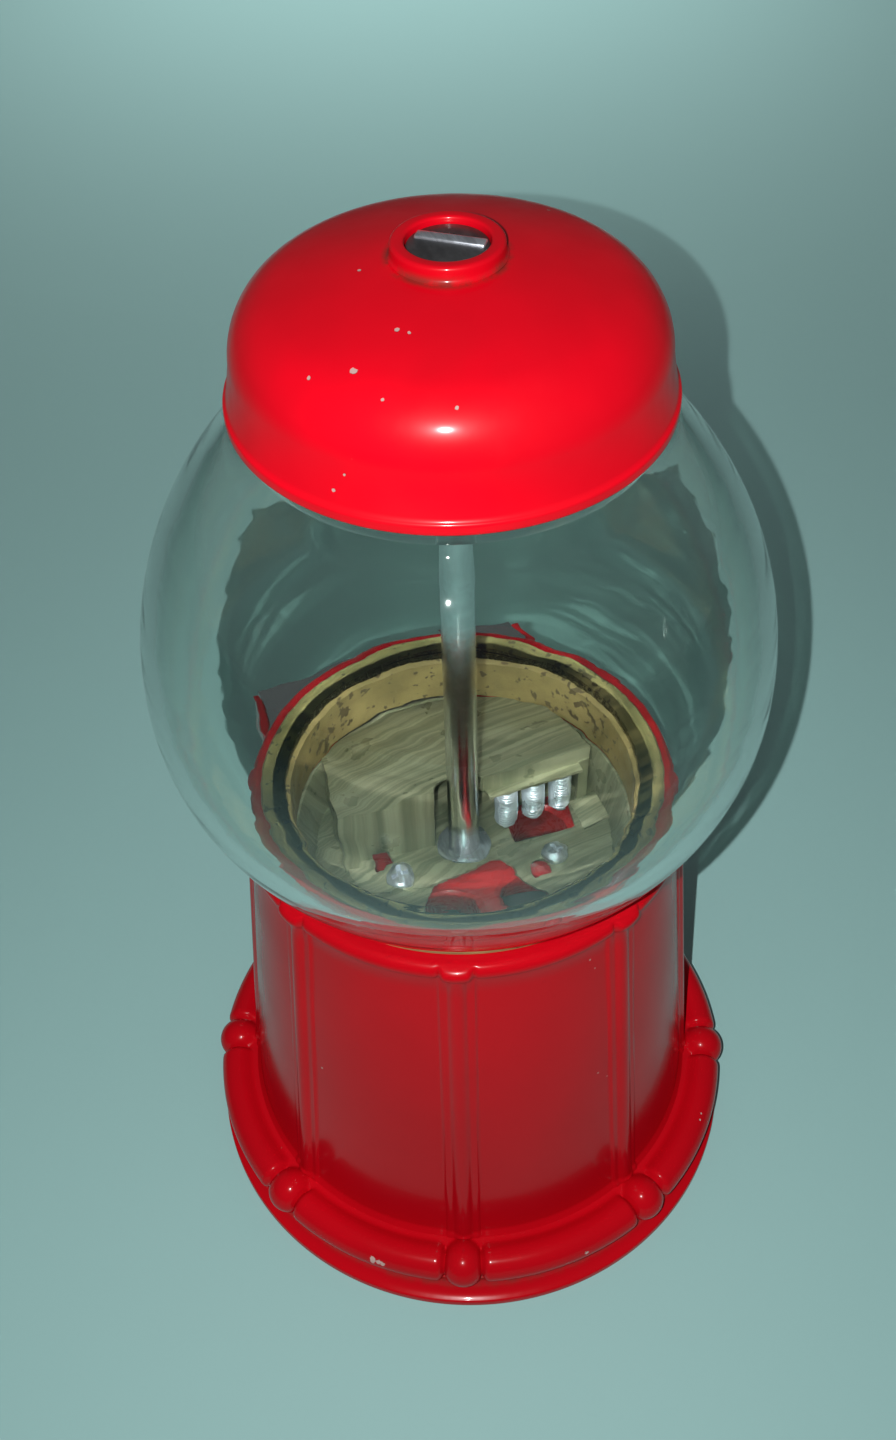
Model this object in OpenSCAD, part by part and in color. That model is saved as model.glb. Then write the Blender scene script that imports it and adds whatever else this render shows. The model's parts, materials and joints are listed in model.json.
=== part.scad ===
// Gumball machine: glass globe on a cast body with a coin mechanism, hopper wheel and lift-off lid.
// Millimetres, +Z up, origin at the centre of the foot; the coin mechanism faces -Y.

/* [Body] */
// Radius of the round foot.
foot_r = 102; // [98:0.5:108]
// Height of the thin edge of the foot.
foot_edge_h = 3.6; // [2.5:0.1:5]
// Distance of the base ring's centre line inside the edge of the foot.
swag_in = 7.5; // [5:0.5:9]
// Height of the centre line of the base ring.
swag_z = 20; // [18.5:0.5:21.5]
// Section radius of the base ring.
swag_tube = 6.75; // [5:0.25:7.5]
// Largest section radius of a knob on the base ring.
knob_r = 8.3; // [7.5:0.1:9]
// Width of a knob along the ring.
knob_w = 13.7; // [11:0.1:15]
// Number of bays round the base.
bays = 8; // [8:1:8]
// Distance of the wall's foot inside the edge of the foot.
wall_in = 17.5; // [16:0.5:19]
// Outside radius of the wall under the bead.
wall_top_r = 72.4; // [71.5:0.1:74]
// Wall thickness of the casting.
wall_t = 3.2; // [2.6:0.1:4]
// Height of the body to the top of the bead.
body_h = 178.6; // [176:0.1:181]
// Section radius of the rolled bead.
bead_r = 3.5; // [2.5:0.1:4]
// Width of a pilaster band.
band_w = 12; // [10:0.5:14]
// Height a reed stands proud of its band.
reed_up = 1.6; // [1:0.1:2.2]

/* [Globe] */
// Largest outside radius of the globe.
globe_r = 96; // [94:0.5:98]
// Height of the widest part of the globe above the glass foot.
globe_rise = 61.8; // [60:0.1:64]
// Thickness of the pressed glass.
glass_t = 4.6; // [3.5:0.1:5.5]
// Radius of the lower neck opening.
neck_r = 60; // [59.5:0.1:61]
// Height of the glass.
glass_h = 156.8; // [154.8:0.1:157.3]
// Radius of the outside of the top neck.
top_neck_r = 56.4; // [55:0.1:56.6]
// Thickness of the gasket under the glass.
gasket_t = 2.6; // [2:0.1:3.2]
// Depth of the gasket skirt below the glass.
skirt_h = 19; // [16:0.5:19.4]

/* [Lid] */
// Clearance of the lid round the top neck.
lid_gap = 0.4; // [0.3:0.1:0.6]
// Thickness of the lid.
lid_t = 2.4; // [1.8:0.1:2.6]
// Depth of the lid's lower edge below the top of the glass.
lid_drop = 3.4; // [2.5:0.1:4]
// Height of the lid with its collar.
lid_h = 44.9; // [43.5:0.1:47]
// Outside radius of the collar.
collar_r = 14.5; // [14:0.1:16]
// Bore radius of the collar.
collar_bore = 10.8; // [10.4:0.1:11]
// Depth of the lock screw below the collar top.
lock_sink = 2.6; // [2:0.1:3.2]

/* [Hopper] */
// Depth of the hopper plate below the top of the body.
plate_drop = 33.6; // [33.2:0.1:34]
// Thickness of the sheet-metal pieces.
sheet = 1.2; // [0.9:0.1:1.3]
// Height of the ball cover's ridge above the hopper plate.
ridge_h = 29; // [27:0.5:31]
// Number of wheel pockets.
pockets = 6; // [6:1:6]
// Radius of one pocket.
pocket_r = 10.5; // [9.5:0.1:11]
// Radius of the circle the pockets lie on.
pocket_pitch = 30; // [29:0.5:31]
// Outside radius of the dispensing wheel.
wheel_r = 52; // [51:0.5:53]
// Thickness of the dispensing wheel.
wheel_h = 16; // [15:0.5:16.2]

/* [Drive] */
// Pitch radius of the crown teeth under the wheel.
crown_r = 46; // [45.5:0.5:46.5]
// Thickness of the ring that carries the crown teeth.
crown_t = 2; // [1.6:0.1:2.4]
// Number of crown teeth.
crown_n = 48; // [48:6:48]
// Number of pinion teeth.
pinion_n = 8; // [8:1:8]
// Depth of the drive shaft below the wheel.
shaft_drop = 9.8; // [9.6:0.1:10]
// Radius of the drive shaft.
shaft_r = 4; // [3.8:0.1:4.2]
// Radius of the centre rod.
rod_r = 4; // [3.8:0.1:4.1]
// Radius of the bright tube round the rod.
tube_r = 5.4; // [5.2:0.1:5.8]
// Radial clearance of turning parts.
run_gap = 0.05; // [0.03:0.01:0.08]

/* [Coin mechanism] */
// Half width of the coin housing.
coin_hw = 54; // [52:0.5:55]
// Depth of the coin housing's top below the top of the body.
coin_drop = 18.6; // [17.6:0.1:20.6]
// Distance of the coin housing's front inside the edge of the foot.
coin_in = 13; // [12.5:0.1:13.5]
// Thickness of the housing plate.
coin_t = 3.4; // [3:0.1:3.6]
// Half width of the chute door.
door_hw = 19; // [17:0.5:21]
// Height of the chute door.
door_h = 27; // [26:0.5:28]

/* [Render] */
// Node to draw, or all.

/* [Hidden] */
$fn = 96;
eps = 0.01;

bay_a = 360 / bays;
fit_gap = 0.2;
screw_r = 1.7;

// body
swag_r = foot_r - swag_in;
wall_low_r = foot_r - wall_in;
wall_z0 = 32;
wall_z1 = body_h - 8.6;
wall_tilt = atan((wall_low_r - wall_top_r) / (wall_z1 - wall_z0));
flange_z = body_h - 11.6;
mouth_r = neck_r + 2.6;
recess_r = foot_r - 13;
recess_h = 6.4;
lug_w = 12;
lug_t = 8;
cheek = 3;

// globe and lid
glass_foot = body_h + gasket_t;
foot_out = neck_r + 7.4;
globe_z = glass_foot + globe_rise;
glass_top = glass_foot + glass_h;
neck_rise = glass_top - 7.7 - globe_z;
low_shift = (pow(globe_r, 2) - pow(foot_out, 2) - pow(globe_rise, 2)) / (2 * (globe_r - foot_out));
high_shift = (pow(globe_r, 2) - pow(top_neck_r, 2) - pow(neck_rise, 2)) / (2 * (globe_r - top_neck_r));
lid_r = top_neck_r + lid_gap + lid_t;
lid_z = glass_top - lid_drop;
lid_seat = glass_top + 1.6;
collar_z = lid_z + lid_h;
lock_ledge = collar_z - 13.1;
lock_bore = rod_r + 2.2;
thread_gap = 0.9;

// hopper
plate_z = body_h - plate_drop;
ridge_z = plate_z + ridge_h;
ledge_z = plate_z - 27.6;
wheel_z = plate_z - 20.6;
bowl_seat = plate_z - sheet - 1.2;
bowl_r = neck_r - 5.6;
hub_r = 6.95;
exit_pitch = pocket_pitch - 1.4;
tray_wall = wheel_r + 5.5;
tray_t = 2.5;
tray_screw_r = wheel_r + 14;
cover_back = -4;
cover_pitch = atan(13 / 53.5);
lip_z = plate_z + 20;
plate_screw_at = [[26.7, 7, sheet], [-28.6, 16.4, 0], [3, -40, 0]];
spring_at = [[-18, -4.6], [-28.5, -4.6], [-39, -4.6]];
rod_foot = 0.8;
rod_top = collar_z - 7.1;
tube_foot = plate_z + 1.4;
tube_top = lock_ledge - 3;

// drive and coin mechanism
coin_front = foot_r - coin_in;
shaft_z = wheel_z - shaft_drop;
tooth_face = 5;
crown_in = crown_r - tooth_face / 2 - 1;
pinion_r = crown_r * pinion_n / crown_n;
tooth_rise = 1.35;
crown_tip_z = shaft_z + pinion_r - tooth_rise;
coin_low = 31;
coin_top = body_h - coin_drop;
housing_back = coin_front - 23;
housing_screw_zs = [coin_low + 29, coin_top - 22];
housing_screw_y = 11 - coin_front;
bracket_screw_x = 37;
bracket_tall = 24;
slot_hw = 10.4;
slot_z = coin_top - 17;
handle_gap = 2.8;
handle_t = 12;
head_sink = 1.5;
shaft_back = crown_r - 3.4;
carrier_y = 10.8 - coin_front;
clip_y = 19.2 - coin_front;
pin_r = 1.5;
hinge_z = coin_low + 34;
hinge_y = coin_front + 2.9;
hinge_ear = door_hw + 3.4;
pawl_x = 31;
pawl_y = 7.6 - coin_front;
pawl_z = shaft_z - 30.6;
chute_hw = 12.8;
chute_screw_x = 17;

// ---------- body ----------
module wall_outline() {
  polygon([[0, 0], [foot_r, 0], [foot_r, foot_edge_h], [swag_r + 2, 14], [swag_r - 4, swag_z + 4],
    [swag_r - 7.5, swag_z + 7], [wall_low_r, wall_z0], [wall_top_r, wall_z1], [wall_top_r, body_h],
    [0, body_h]]);
}

module body_section() {
  cove_r = 7;
  difference() {
    wall_outline();
    translate([foot_r + 1.5, foot_edge_h + cove_r - 0.1]) circle(r = cove_r);
  }
  translate([wall_top_r, body_h - bead_r]) circle(r = bead_r);
}

module body_cavity() {
  low_in = wall_low_r - wall_t;
  top_in = wall_top_r - wall_t;
  rotate_extrude() polygon([[0, -1], [recess_r, -1], [recess_r, recess_h], [low_in + 1, recess_h],
    [low_in + 1, wall_z0 - 8], [low_in, wall_z0], [top_in + 0.6, flange_z - 4], [mouth_r, flange_z],
    [mouth_r, body_h + 1], [0, body_h + 1]]);
}

module swag_segment() {
  end_a = (knob_w / 2 + swag_tube * 0.82) / swag_r * 180 / PI;
  span = bay_a - 2 * end_a;
  rotate([0, 0, -span / 2])
    rotate_extrude(angle = span) translate([swag_r, 0]) circle(r = swag_tube);
  for (s = [-1, 1])
    rotate([0, 0, s * span / 2]) translate([swag_r, 0, 0]) sphere(r = swag_tube);
}

module knob() {
  crown = 10;
  translate([swag_r, 0, 0]) rotate([90, 0, 0])
    rotate_extrude() intersection() {
      translate([knob_r - crown, 0]) circle(r = crown);
      translate([0, -knob_w / 2]) square([knob_r, knob_w]);
    }
}

module pilaster() {
  run = (wall_z1 - wall_z0) / cos(wall_tilt);
  reed_low = 4.4;
  reed_top = 3.6;
  band_up = 0.8;
  translate([wall_low_r, 0, wall_z0 - 6]) rotate([0, -wall_tilt, 0]) {
    translate([-2, -band_w / 2, 0]) cube([2 + band_up, band_w, run + 9]);
    translate([band_up + reed_up - reed_low, 0, 0]) cylinder(h = run + 9, r1 = reed_low, r2 = reed_top);
  }
}

module bead_bump() {
  translate([wall_top_r + 1.8, 0, body_h - bead_r]) sphere(r = bead_r + 0.6);
}

module coin_frame() {
  half = coin_hw + fit_gap + cheek;
  translate([-half, -(coin_front - 2), coin_low - cheek - fit_gap])
    cube([2 * half, coin_front - 42, coin_top - coin_low + cheek + fit_gap]);
}

module coin_pocket() {
  half = coin_hw + fit_gap;
  translate([-half, -coin_front - 1, coin_low])
    cube([2 * half, coin_front + 1 - housing_back, coin_top - coin_low + fit_gap]);
  translate([8 - coin_hw, -housing_back - 4, coin_low + 4])
    cube([2 * coin_hw - 16, 40, coin_top - coin_low - 11]);
  for (s = [-1, 1], z = housing_screw_zs)
    translate([s * (coin_hw - 1), housing_screw_y, z]) rotate([0, s * 90, 0]) cylinder(h = 3.6, r = screw_r);
}

module body_casting() {
  color("firebrick") {
    difference() {
      union() {
        rotate_extrude() body_section();
        for (i = [0 : bays - 1])
          rotate([0, 0, i * bay_a]) translate([0, 0, swag_z]) swag_segment();
        for (i = [0 : bays - 1])
          rotate([0, 0, (i + 0.5) * bay_a]) translate([0, 0, swag_z]) knob();
        for (i = [0 : 5])
          rotate([0, 0, -22.5 + i * bay_a]) pilaster();
        for (i = [0 : 5])
          rotate([0, 0, -22.5 + i * bay_a]) bead_bump();
        coin_frame();
      }
      body_cavity();
      coin_pocket();
    }
    for (a = [90, 210, 330])
      rotate([0, 0, a]) support_lug();
  }
}

module support_lug() {
  lug_in = wheel_r - 2;
  lug_out = wall_top_r + 3.6;
  difference() {
    translate([lug_in, -lug_w / 2, ledge_z - lug_t]) cube([lug_out - lug_in, lug_w, lug_t]);
    translate([tray_screw_r, 0, ledge_z - lug_t - 1]) cylinder(h = lug_t + 2, r = screw_r - 0.1);
  }
}

module bottom_plate() {
  color("dimgray") difference() {
    translate([0, 0, recess_h - 1.6]) cylinder(h = 1.6, r = recess_r - 0.5);
    translate([0, 0, recess_h - 3]) cylinder(h = 4, r = rod_r + 0.3);
  }
}

module rod_nut() {
  nut_h = 3.4;
  color("silver") difference() {
    translate([0, 0, recess_h - 1.6 - nut_h]) cylinder(h = nut_h, r = 7, $fn = 6);
    cylinder(h = 12, r = rod_r);
  }
}

module center_rod() {
  color("silver") translate([0, 0, rod_foot]) cylinder(h = rod_top - rod_foot, r = rod_r);
}

module rod_tube() {
  color("gainsboro") translate([0, 0, tube_foot]) difference() {
    cylinder(h = tube_top - tube_foot, r = tube_r);
    translate([0, 0, -1]) cylinder(h = tube_top - tube_foot + 2, r = rod_r + 0.35);
  }
}

module rod_washer() {
  color("silver") translate([0, 0, plate_z]) difference() {
    cylinder(h = tube_foot - plate_z, r = 9.6);
    translate([0, 0, -1]) cylinder(h = 4, r = rod_r + 0.3);
  }
}

// ---------- globe and lid ----------
module globe_half(shift, radius, low, high) {
  intersection() {
    translate([shift, globe_z]) circle(r = radius);
    translate([0, low]) square([globe_r + 10, high - low]);
  }
}

module globe_section() {
  difference() {
    union() {
      globe_half(high_shift, globe_r - high_shift, globe_z, glass_top - 2);
      globe_half(low_shift, globe_r - low_shift, glass_foot, globe_z + eps);
      translate([0, glass_foot]) square([foot_out - 3.4, 12]);
      translate([0, glass_top - 14]) square([top_neck_r, 14]);
    }
    globe_half(high_shift, globe_r - high_shift - glass_t, globe_z, glass_top - 12);
    globe_half(low_shift, globe_r - low_shift - glass_t, glass_foot + 4, globe_z + eps);
    translate([-1, glass_foot - 1]) square([neck_r + 1, 20]);
    translate([-1, glass_top - 30]) square([top_neck_r - 6 + 1, 40]);
    translate([-5, glass_foot]) square([5, glass_top]);
  }
}

module globe() {
  color("lightcyan", 0.4) rotate_extrude() globe_section();
}

module globe_gasket() {
  skirt_in = neck_r - 1.2;
  skirt_out = mouth_r - 1;
  color("tan") rotate_extrude() {
    translate([skirt_in, glass_foot - skirt_h]) square([skirt_out - skirt_in, skirt_h]);
    translate([skirt_in, body_h]) square([wall_top_r - 2 - skirt_in, gasket_t]);
  }
}

module lid_shape(inset) {
  shoulder_r = 20;
  shoulder_x = lid_r - 21.6;
  shoulder_h = 14.9;
  brim_h = 5;
  cap_top = lid_h - 3.6;
  rise = cap_top - shoulder_h;
  cap_r = (pow(shoulder_x, 2) + pow(rise, 2) - pow(shoulder_r, 2)) / (2 * (rise - shoulder_r));
  translate([0, lid_z]) intersection() {
    translate([0, cap_top - cap_r]) circle(r = cap_r - inset, $fn = 240);
    union() {
      intersection() {
        translate([shoulder_x, shoulder_h]) circle(r = shoulder_r - inset);
        translate([0, shoulder_h]) square([lid_r, cap_top]);
      }
      polygon([[0, 0], [lid_r - inset, 0], [lid_r - inset, brim_h],
        [shoulder_x + shoulder_r - inset, shoulder_h], [shoulder_x, shoulder_h], [shoulder_x, cap_top],
        [0, cap_top]]);
    }
  }
}

module lid() {
  lip = 1.2;
  lip_h = 4.2;
  seat_in = top_neck_r - 5;
  seat_t = 2.4;
  ledge_t = 2.4;
  color("firebrick") rotate_extrude() difference() {
    union() {
      difference() {
        lid_shape(0);
        lid_shape(lid_t);
        translate([-1, lid_z - 1]) square([lid_r - lid_t + 1, 4]);
      }
      translate([lid_r - lid_t, lid_z]) square([lid_t + lip, lip_h]);
      translate([seat_in, lid_seat]) square([lid_r - lid_t - seat_in + 0.6, seat_t]);
      translate([lock_bore, lock_ledge - ledge_t])
        square([collar_r - lock_bore, collar_z - lock_ledge + ledge_t]);
    }
    translate([-1, lock_ledge]) square([collar_bore + 1, collar_z]);
    translate([-20, 0]) square([20, 2 * collar_z]);
    translate([-1, lid_z - 1]) square([lock_bore + 1, lid_h + 2]);
  }
}

module lid_gasket() {
  color("tan") translate([0, 0, glass_top]) difference() {
    cylinder(h = lid_seat - glass_top, r = top_neck_r - 0.4);
    translate([0, 0, -1]) cylinder(h = 5, r = top_neck_r - 5.6);
  }
}

module lid_screw() {
  lock_top = collar_z - lock_sink;
  slot_w = 2.8;
  slot_d = 2.2;
  color("gray") difference() {
    translate([0, 0, lock_ledge]) cylinder(h = lock_top - lock_ledge, r = collar_bore - 0.3);
    translate([0, 0, lock_ledge - 1]) cylinder(h = rod_top - lock_ledge + 1.6, r = rod_r + thread_gap);
    rotate([0, 0, 55]) translate([-collar_bore, -slot_w / 2, lock_top - slot_d])
      cube([2 * collar_bore, slot_w, slot_d + 1]);
  }
}

// ---------- hopper ----------
module wheel_housing() {
  floor_t = 2;
  wall_out = tray_wall + tray_t;
  color("slategray") difference() {
    union() {
      translate([0, 0, ledge_z]) cylinder(h = bowl_seat - ledge_z, r = wall_out);
      for (a = [90, 210, 330])
        rotate([0, 0, a]) translate([wall_out - 4, -lug_w / 2, ledge_z])
          cube([tray_screw_r + 8 - wall_out, lug_w, 3]);
    }
    difference() {
      translate([0, 0, ledge_z + floor_t]) cylinder(h = 40, r = tray_wall);
      translate([0, 0, ledge_z]) cylinder(h = wheel_z - ledge_z, r = hub_r + 5);
      translate([0, 0, ledge_z]) cylinder(h = wheel_z + wheel_h + 0.6 - ledge_z, r = hub_r);
    }
    translate([0, 0, ledge_z - 1]) cylinder(h = 40, r = rod_r + 0.3);
    translate([0, -exit_pitch, ledge_z - 1]) cylinder(h = 4, r = pocket_r);
    translate([-slot_hw, -crown_r - 4.4, ledge_z - 1]) cube([2 * slot_hw, 9, 4]);
    translate([0, -crown_r, shaft_z]) rotate([90, 0, 0]) cylinder(h = 20, r = shaft_r + 0.8);
    for (a = [90, 210, 330])
      rotate([0, 0, a]) translate([tray_screw_r, 0, ledge_z - 1]) cylinder(h = 5, r = screw_r + 0.2);
    for (s = [-1, 1])
      translate([s * chute_screw_x, -exit_pitch, ledge_z - 1]) cylinder(h = 4, r = screw_r);
  }
}

module crown_tooth() {
  tip = 0.75;
  root = 2.1;
  translate([0, -crown_r + tooth_face / 2, 0]) rotate([90, 0, 0])
    linear_extrude(height = tooth_face)
      polygon([[-root, wheel_z + 0.5], [root, wheel_z + 0.5], [tip, crown_tip_z], [-tip, crown_tip_z]]);
}

// The toothed ring pressed onto the step under the wheel.
module crown_gear() {
  color("silver") {
    difference() {
      translate([0, 0, wheel_z]) cylinder(h = crown_t, r = wheel_r);
      translate([0, 0, wheel_z - 1]) cylinder(h = crown_t + 2, r = crown_in);
    }
    for (i = [0 : crown_n - 1])
      rotate([0, 0, (i + 0.5) * 360 / crown_n]) crown_tooth();
  }
}

module dispensing_wheel() {
  color("red") {
    difference() {
      union() {
        translate([0, 0, wheel_z]) cylinder(h = wheel_h, r = crown_in);
        translate([0, 0, wheel_z + crown_t]) cylinder(h = wheel_h - crown_t, r = wheel_r);
      }
      translate([0, 0, wheel_z - 1]) cylinder(h = wheel_h + 2, r = hub_r + run_gap);
      for (i = [0 : pockets - 1])
        rotate([0, 0, (i + 0.5) * 360 / pockets]) translate([0, -pocket_pitch, wheel_z - 1]) {
          cylinder(h = wheel_h + 2, r = pocket_r);
          translate([0, 0, wheel_h - 1]) cylinder(h = 3, r1 = pocket_r, r2 = pocket_r + 3);
        }
      for (i = [0 : pockets - 1])
        rotate([0, 0, i * 360 / pockets]) translate([0, -wheel_r + 9, wheel_z + 3])
          cylinder(h = wheel_h, r = 5);
    }
  }
}

module hopper_plate() {
  plate_r = bowl_r - 0.6;
  color("darkkhaki") translate([0, 0, plate_z - sheet]) difference() {
    cylinder(h = sheet, r = plate_r);
    translate([0, 0, -1]) {
      cylinder(h = 4, r = rod_r + 0.3);
      linear_extrude(height = 4) difference() {
        intersection() {
          polygon([[10.5, 4], [34, 39], [-23, 44], [-9.5, 10.5]]);
          circle(r = 49);
        }
        circle(r = 11.5);
      }
      linear_extrude(height = 4) polygon([[-17.5, 5.3], [-41, 6], [-44, -12], [-19, -12]]);
      translate([27, -8, 0]) cube([6.5, 8.5, 4]);
      translate([-21.4, 20.7, 0]) difference() {
        cylinder(h = 4, r = 3.6);
        translate([-5, 1.8, -1]) cube([10, 5, 6]);
      }
      for (p = plate_screw_at)
        translate([p[0], p[1], 0]) cylinder(h = 4, r = screw_r + 0.1);
    }
  }
}

module hopper_bowl() {
  top_in = bowl_r + 3.9;
  rim_out = tray_wall + tray_t;
  top_z = glass_foot - skirt_h - 1.4;
  color("darkkhaki") rotate_extrude()
    polygon([[wheel_r - 2, bowl_seat], [rim_out, bowl_seat], [rim_out, plate_z - sheet],
      [bowl_r + sheet + 0.4, plate_z - sheet], [top_in + sheet, top_z], [top_in, top_z],
      [bowl_r, plate_z - sheet], [wheel_r - 2, plate_z - sheet]]);
}

module cover_plan(inset) {
  linear_extrude(height = 40)
    polygon([[44 - inset, cover_back - inset], [37 - inset, -60], [-43 + inset, -60],
      [-50 + inset, cover_back - inset]]);
}

module cover_solid(inset) {
  low_r = bowl_r - 1.2;
  bend_r = bowl_r + 3.2;
  bend_h = 16;
  intersection() {
    translate([0, 0, plate_z]) rotate_extrude()
      polygon([[0, 0], [low_r - inset, 0], [bend_r - inset, bend_h], [bend_r - inset, 40], [0, 40]]);
    translate([0, 0, plate_z]) cover_plan(inset);
    translate([-70, cover_back, ridge_z - inset]) rotate([cover_pitch, 0, 0])
      translate([0, -80, -60]) cube([140, 100, 60]);
  }
}

module ball_cover() {
  color("darkkhaki") difference() {
    union() {
      difference() {
        cover_solid(0);
        translate([0, 0, -eps]) cover_solid(sheet);
        translate([-60, 2 * cover_back, plate_z - 1]) cube([52, -2 * cover_back, lip_z + 1 - plate_z]);
      }
      translate([0, cover_back - sheet, plate_z]) cube([43, 18, sheet]);
      translate([-46, -10, lip_z]) cube([38, 9.6, sheet]);
      for (p = spring_at)
        translate([p[0], p[1], lip_z - 4.5]) cylinder(h = 5, r = 2.9);
      translate([-43.5, -3.6, plate_z]) rotate([0, 18, 0]) translate([-10, 0, 0]) cube([10, 13, sheet]);
      translate([-49.6, cover_back - sheet, plate_z + 0.4]) cube([4, sheet + 0.8, 22]);
    }
    translate([0, 0, plate_z - 1]) cylinder(h = 40, r = 10.2);
    translate([27, -8, plate_z - 1]) cube([6.5, 8.5, 5.5]);
    translate([30, 14.5, plate_z - 1]) cylinder(h = 4, r = 3.4);
    for (p = plate_screw_at)
      translate([p[0], p[1], plate_z - 1]) cylinder(h = 4, r = screw_r + 0.1);
  }
}

module wiper_springs() {
  turns = 17;
  wire = 0.5;
  coil_r = 3.75;
  color("silver") for (p = spring_at)
    translate([p[0], p[1], lip_z - wire]) rotate_extrude() {
      for (i = [0 : turns])
        translate([coil_r, -i * wire * 2]) circle(r = wire, $fn = 24);
      translate([coil_r - wire / 2, -turns * wire * 2]) square([wire, turns * wire * 2]);
    }
}

module pan_screw(head_r, head_h, shank_r, shank) {
  cross = head_r * 0.34;
  difference() {
    union() {
      cylinder(h = head_h * 0.55, r = head_r);
      translate([0, 0, head_h * 0.55]) cylinder(h = head_h * 0.45, r1 = head_r, r2 = head_r * 0.62);
      translate([0, 0, -shank]) cylinder(h = shank + eps, r = shank_r);
    }
    for (a = [0, 90])
      rotate([0, 0, a]) translate([-head_r * 0.6, -cross / 2, head_h * 0.45])
        cube([head_r * 1.2, cross, head_h]);
  }
}

module plate_screws() {
  color("silver") for (p = plate_screw_at)
    translate([p[0], p[1], plate_z + p[2]]) pan_screw(4.9, 3, screw_r, sheet + p[2] + 2.2);
}

module plate_nuts() {
  nut_h = 2.2;
  color("silver") for (p = plate_screw_at)
    translate([p[0], p[1], plate_z - sheet - nut_h]) difference() {
      cylinder(h = nut_h, r = 3.4, $fn = 6);
      translate([0, 0, -1]) cylinder(h = 6, r = screw_r);
    }
}

module tray_screws() {
  color("silver") for (a = [90, 210, 330])
    rotate([0, 0, a]) translate([tray_screw_r, 0, ledge_z + 3]) pan_screw(3.2, 2.2, screw_r - 0.1, 10);
}

// ---------- coin mechanism ----------
module coin_housing() {
  deep = coin_front - housing_back;
  open_hw = door_hw - 2;
  color("silver") difference() {
    union() {
      translate([-coin_hw, -coin_front, coin_low]) cube([2 * coin_hw, deep, coin_top - coin_low]);
      translate([0, -coin_front + eps, shaft_z]) rotate([90, 0, 0]) cylinder(h = 2.4, r1 = 18, r2 = 16.5);
      translate([-17, -coin_front - 2, slot_z - 5]) cube([34, 3, 10]);
      for (s = [-1, 1])
        translate([s * hinge_ear - 2, -coin_front - 3.6, hinge_z - 2.5]) cube([4, 4, 5]);
    }
    translate([-coin_hw + coin_t, -coin_front + coin_t, coin_low + coin_t])
      cube([2 * (coin_hw - coin_t), deep, coin_top - coin_low - 2 * coin_t]);
    translate([0, -coin_front + 10, shaft_z]) rotate([90, 0, 0]) cylinder(h = 20, r = shaft_r + run_gap);
    translate([-13, -coin_front - 5, slot_z - 1.2]) cube([26, 12, 2.4]);
    translate([-open_hw, -coin_front - 1, coin_low + 6]) cube([2 * open_hw, 8, door_h - 5]);
    for (s = [-1, 1])
      translate([s * hinge_ear - 4, -hinge_y, hinge_z]) rotate([0, 90, 0])
        cylinder(h = 8, r = pin_r);
    for (s = [-1, 1], z = housing_screw_zs)
      translate([s * (coin_hw + 3), housing_screw_y, z]) rotate([0, -s * 90, 0])
        translate([0, 0, -1]) cylinder(h = 12, r = screw_r + 0.1);
    for (s = [-1, 1], z = [-8, 8])
      translate([s * bracket_screw_x, -coin_front + 2 + coin_t, shaft_z + z]) rotate([90, 0, 0])
        cylinder(h = 4.4, r = screw_r);
  }
}

module housing_screws() {
  color("silver") for (s = [-1, 1], z = housing_screw_zs)
    translate([s * (coin_hw - coin_t), housing_screw_y, z]) rotate([0, -s * 90, 0])
      pan_screw(3.4, 2.4, screw_r, coin_t + 2.4);
}

module turn_handle() {
  grip = 24;
  color("gainsboro") translate([0, -coin_front - handle_gap, shaft_z]) rotate([90, 0, 0]) difference() {
    union() {
      cylinder(h = 8, r = 11);
      translate([0, 0, 4]) linear_extrude(height = handle_t - 4) {
        translate([-grip, -4.4]) square([2 * grip, 8.8]);
        for (s = [-1, 1])
          translate([s * grip, 0]) circle(r = 6.4);
        circle(r = 8.6);
      }
    }
    translate([0, 0, -1]) cylinder(h = handle_t - 2, r = shaft_r);
    translate([0, 0, -1]) cylinder(h = 20, r = screw_r);
    translate([0, 0, handle_t - head_sink]) cylinder(h = 3, r = 4.3);
    for (s = [-1, 1])
      translate([s * grip, 0, handle_t - 1.6]) cylinder(h = 3, r = 3.6);
  }
}

module handle_screw() {
  color("silver") translate([0, -coin_front - handle_gap - handle_t + head_sink, shaft_z])
    rotate([90, 0, 0]) pan_screw(4, 2.8, screw_r, 9);
}

module drive_shaft() {
  color("silver") difference() {
    translate([0, -shaft_back, shaft_z]) rotate([90, 0, 0])
      cylinder(h = coin_front + handle_gap + handle_t - 3 - shaft_back, r = shaft_r);
    translate([0, clip_y + 0.1, shaft_z]) rotate([90, 0, 0]) difference() {
      cylinder(h = 0.9, r = shaft_r + 1);
      translate([0, 0, -1]) cylinder(h = 3, r = shaft_r - 0.7);
    }
    translate([0, -coin_front, shaft_z]) rotate([90, 0, 0]) cylinder(h = 20, r = screw_r);
  }
}

module coin_carrier() {
  disc_r = 27;
  color("darkgray") translate([0, carrier_y, shaft_z]) rotate([90, 0, 0]) difference() {
    union() {
      cylinder(h = 6.4, r = disc_r);
      translate([0, 0, -6.9]) cylinder(h = 9, r = 8);
    }
    translate([0, 0, -9]) cylinder(h = 20, r = shaft_r);
    translate([0, 15, 4.2]) cylinder(h = 4, r = 12.3);
    translate([-12.3, 15, 4.2]) cube([24.6, 20, 4]);
    for (a = [200, 270, 340])
      rotate([0, 0, a]) translate([17.5, 0, -1]) cylinder(h = 9, r = 4.5);
  }
}

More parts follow.
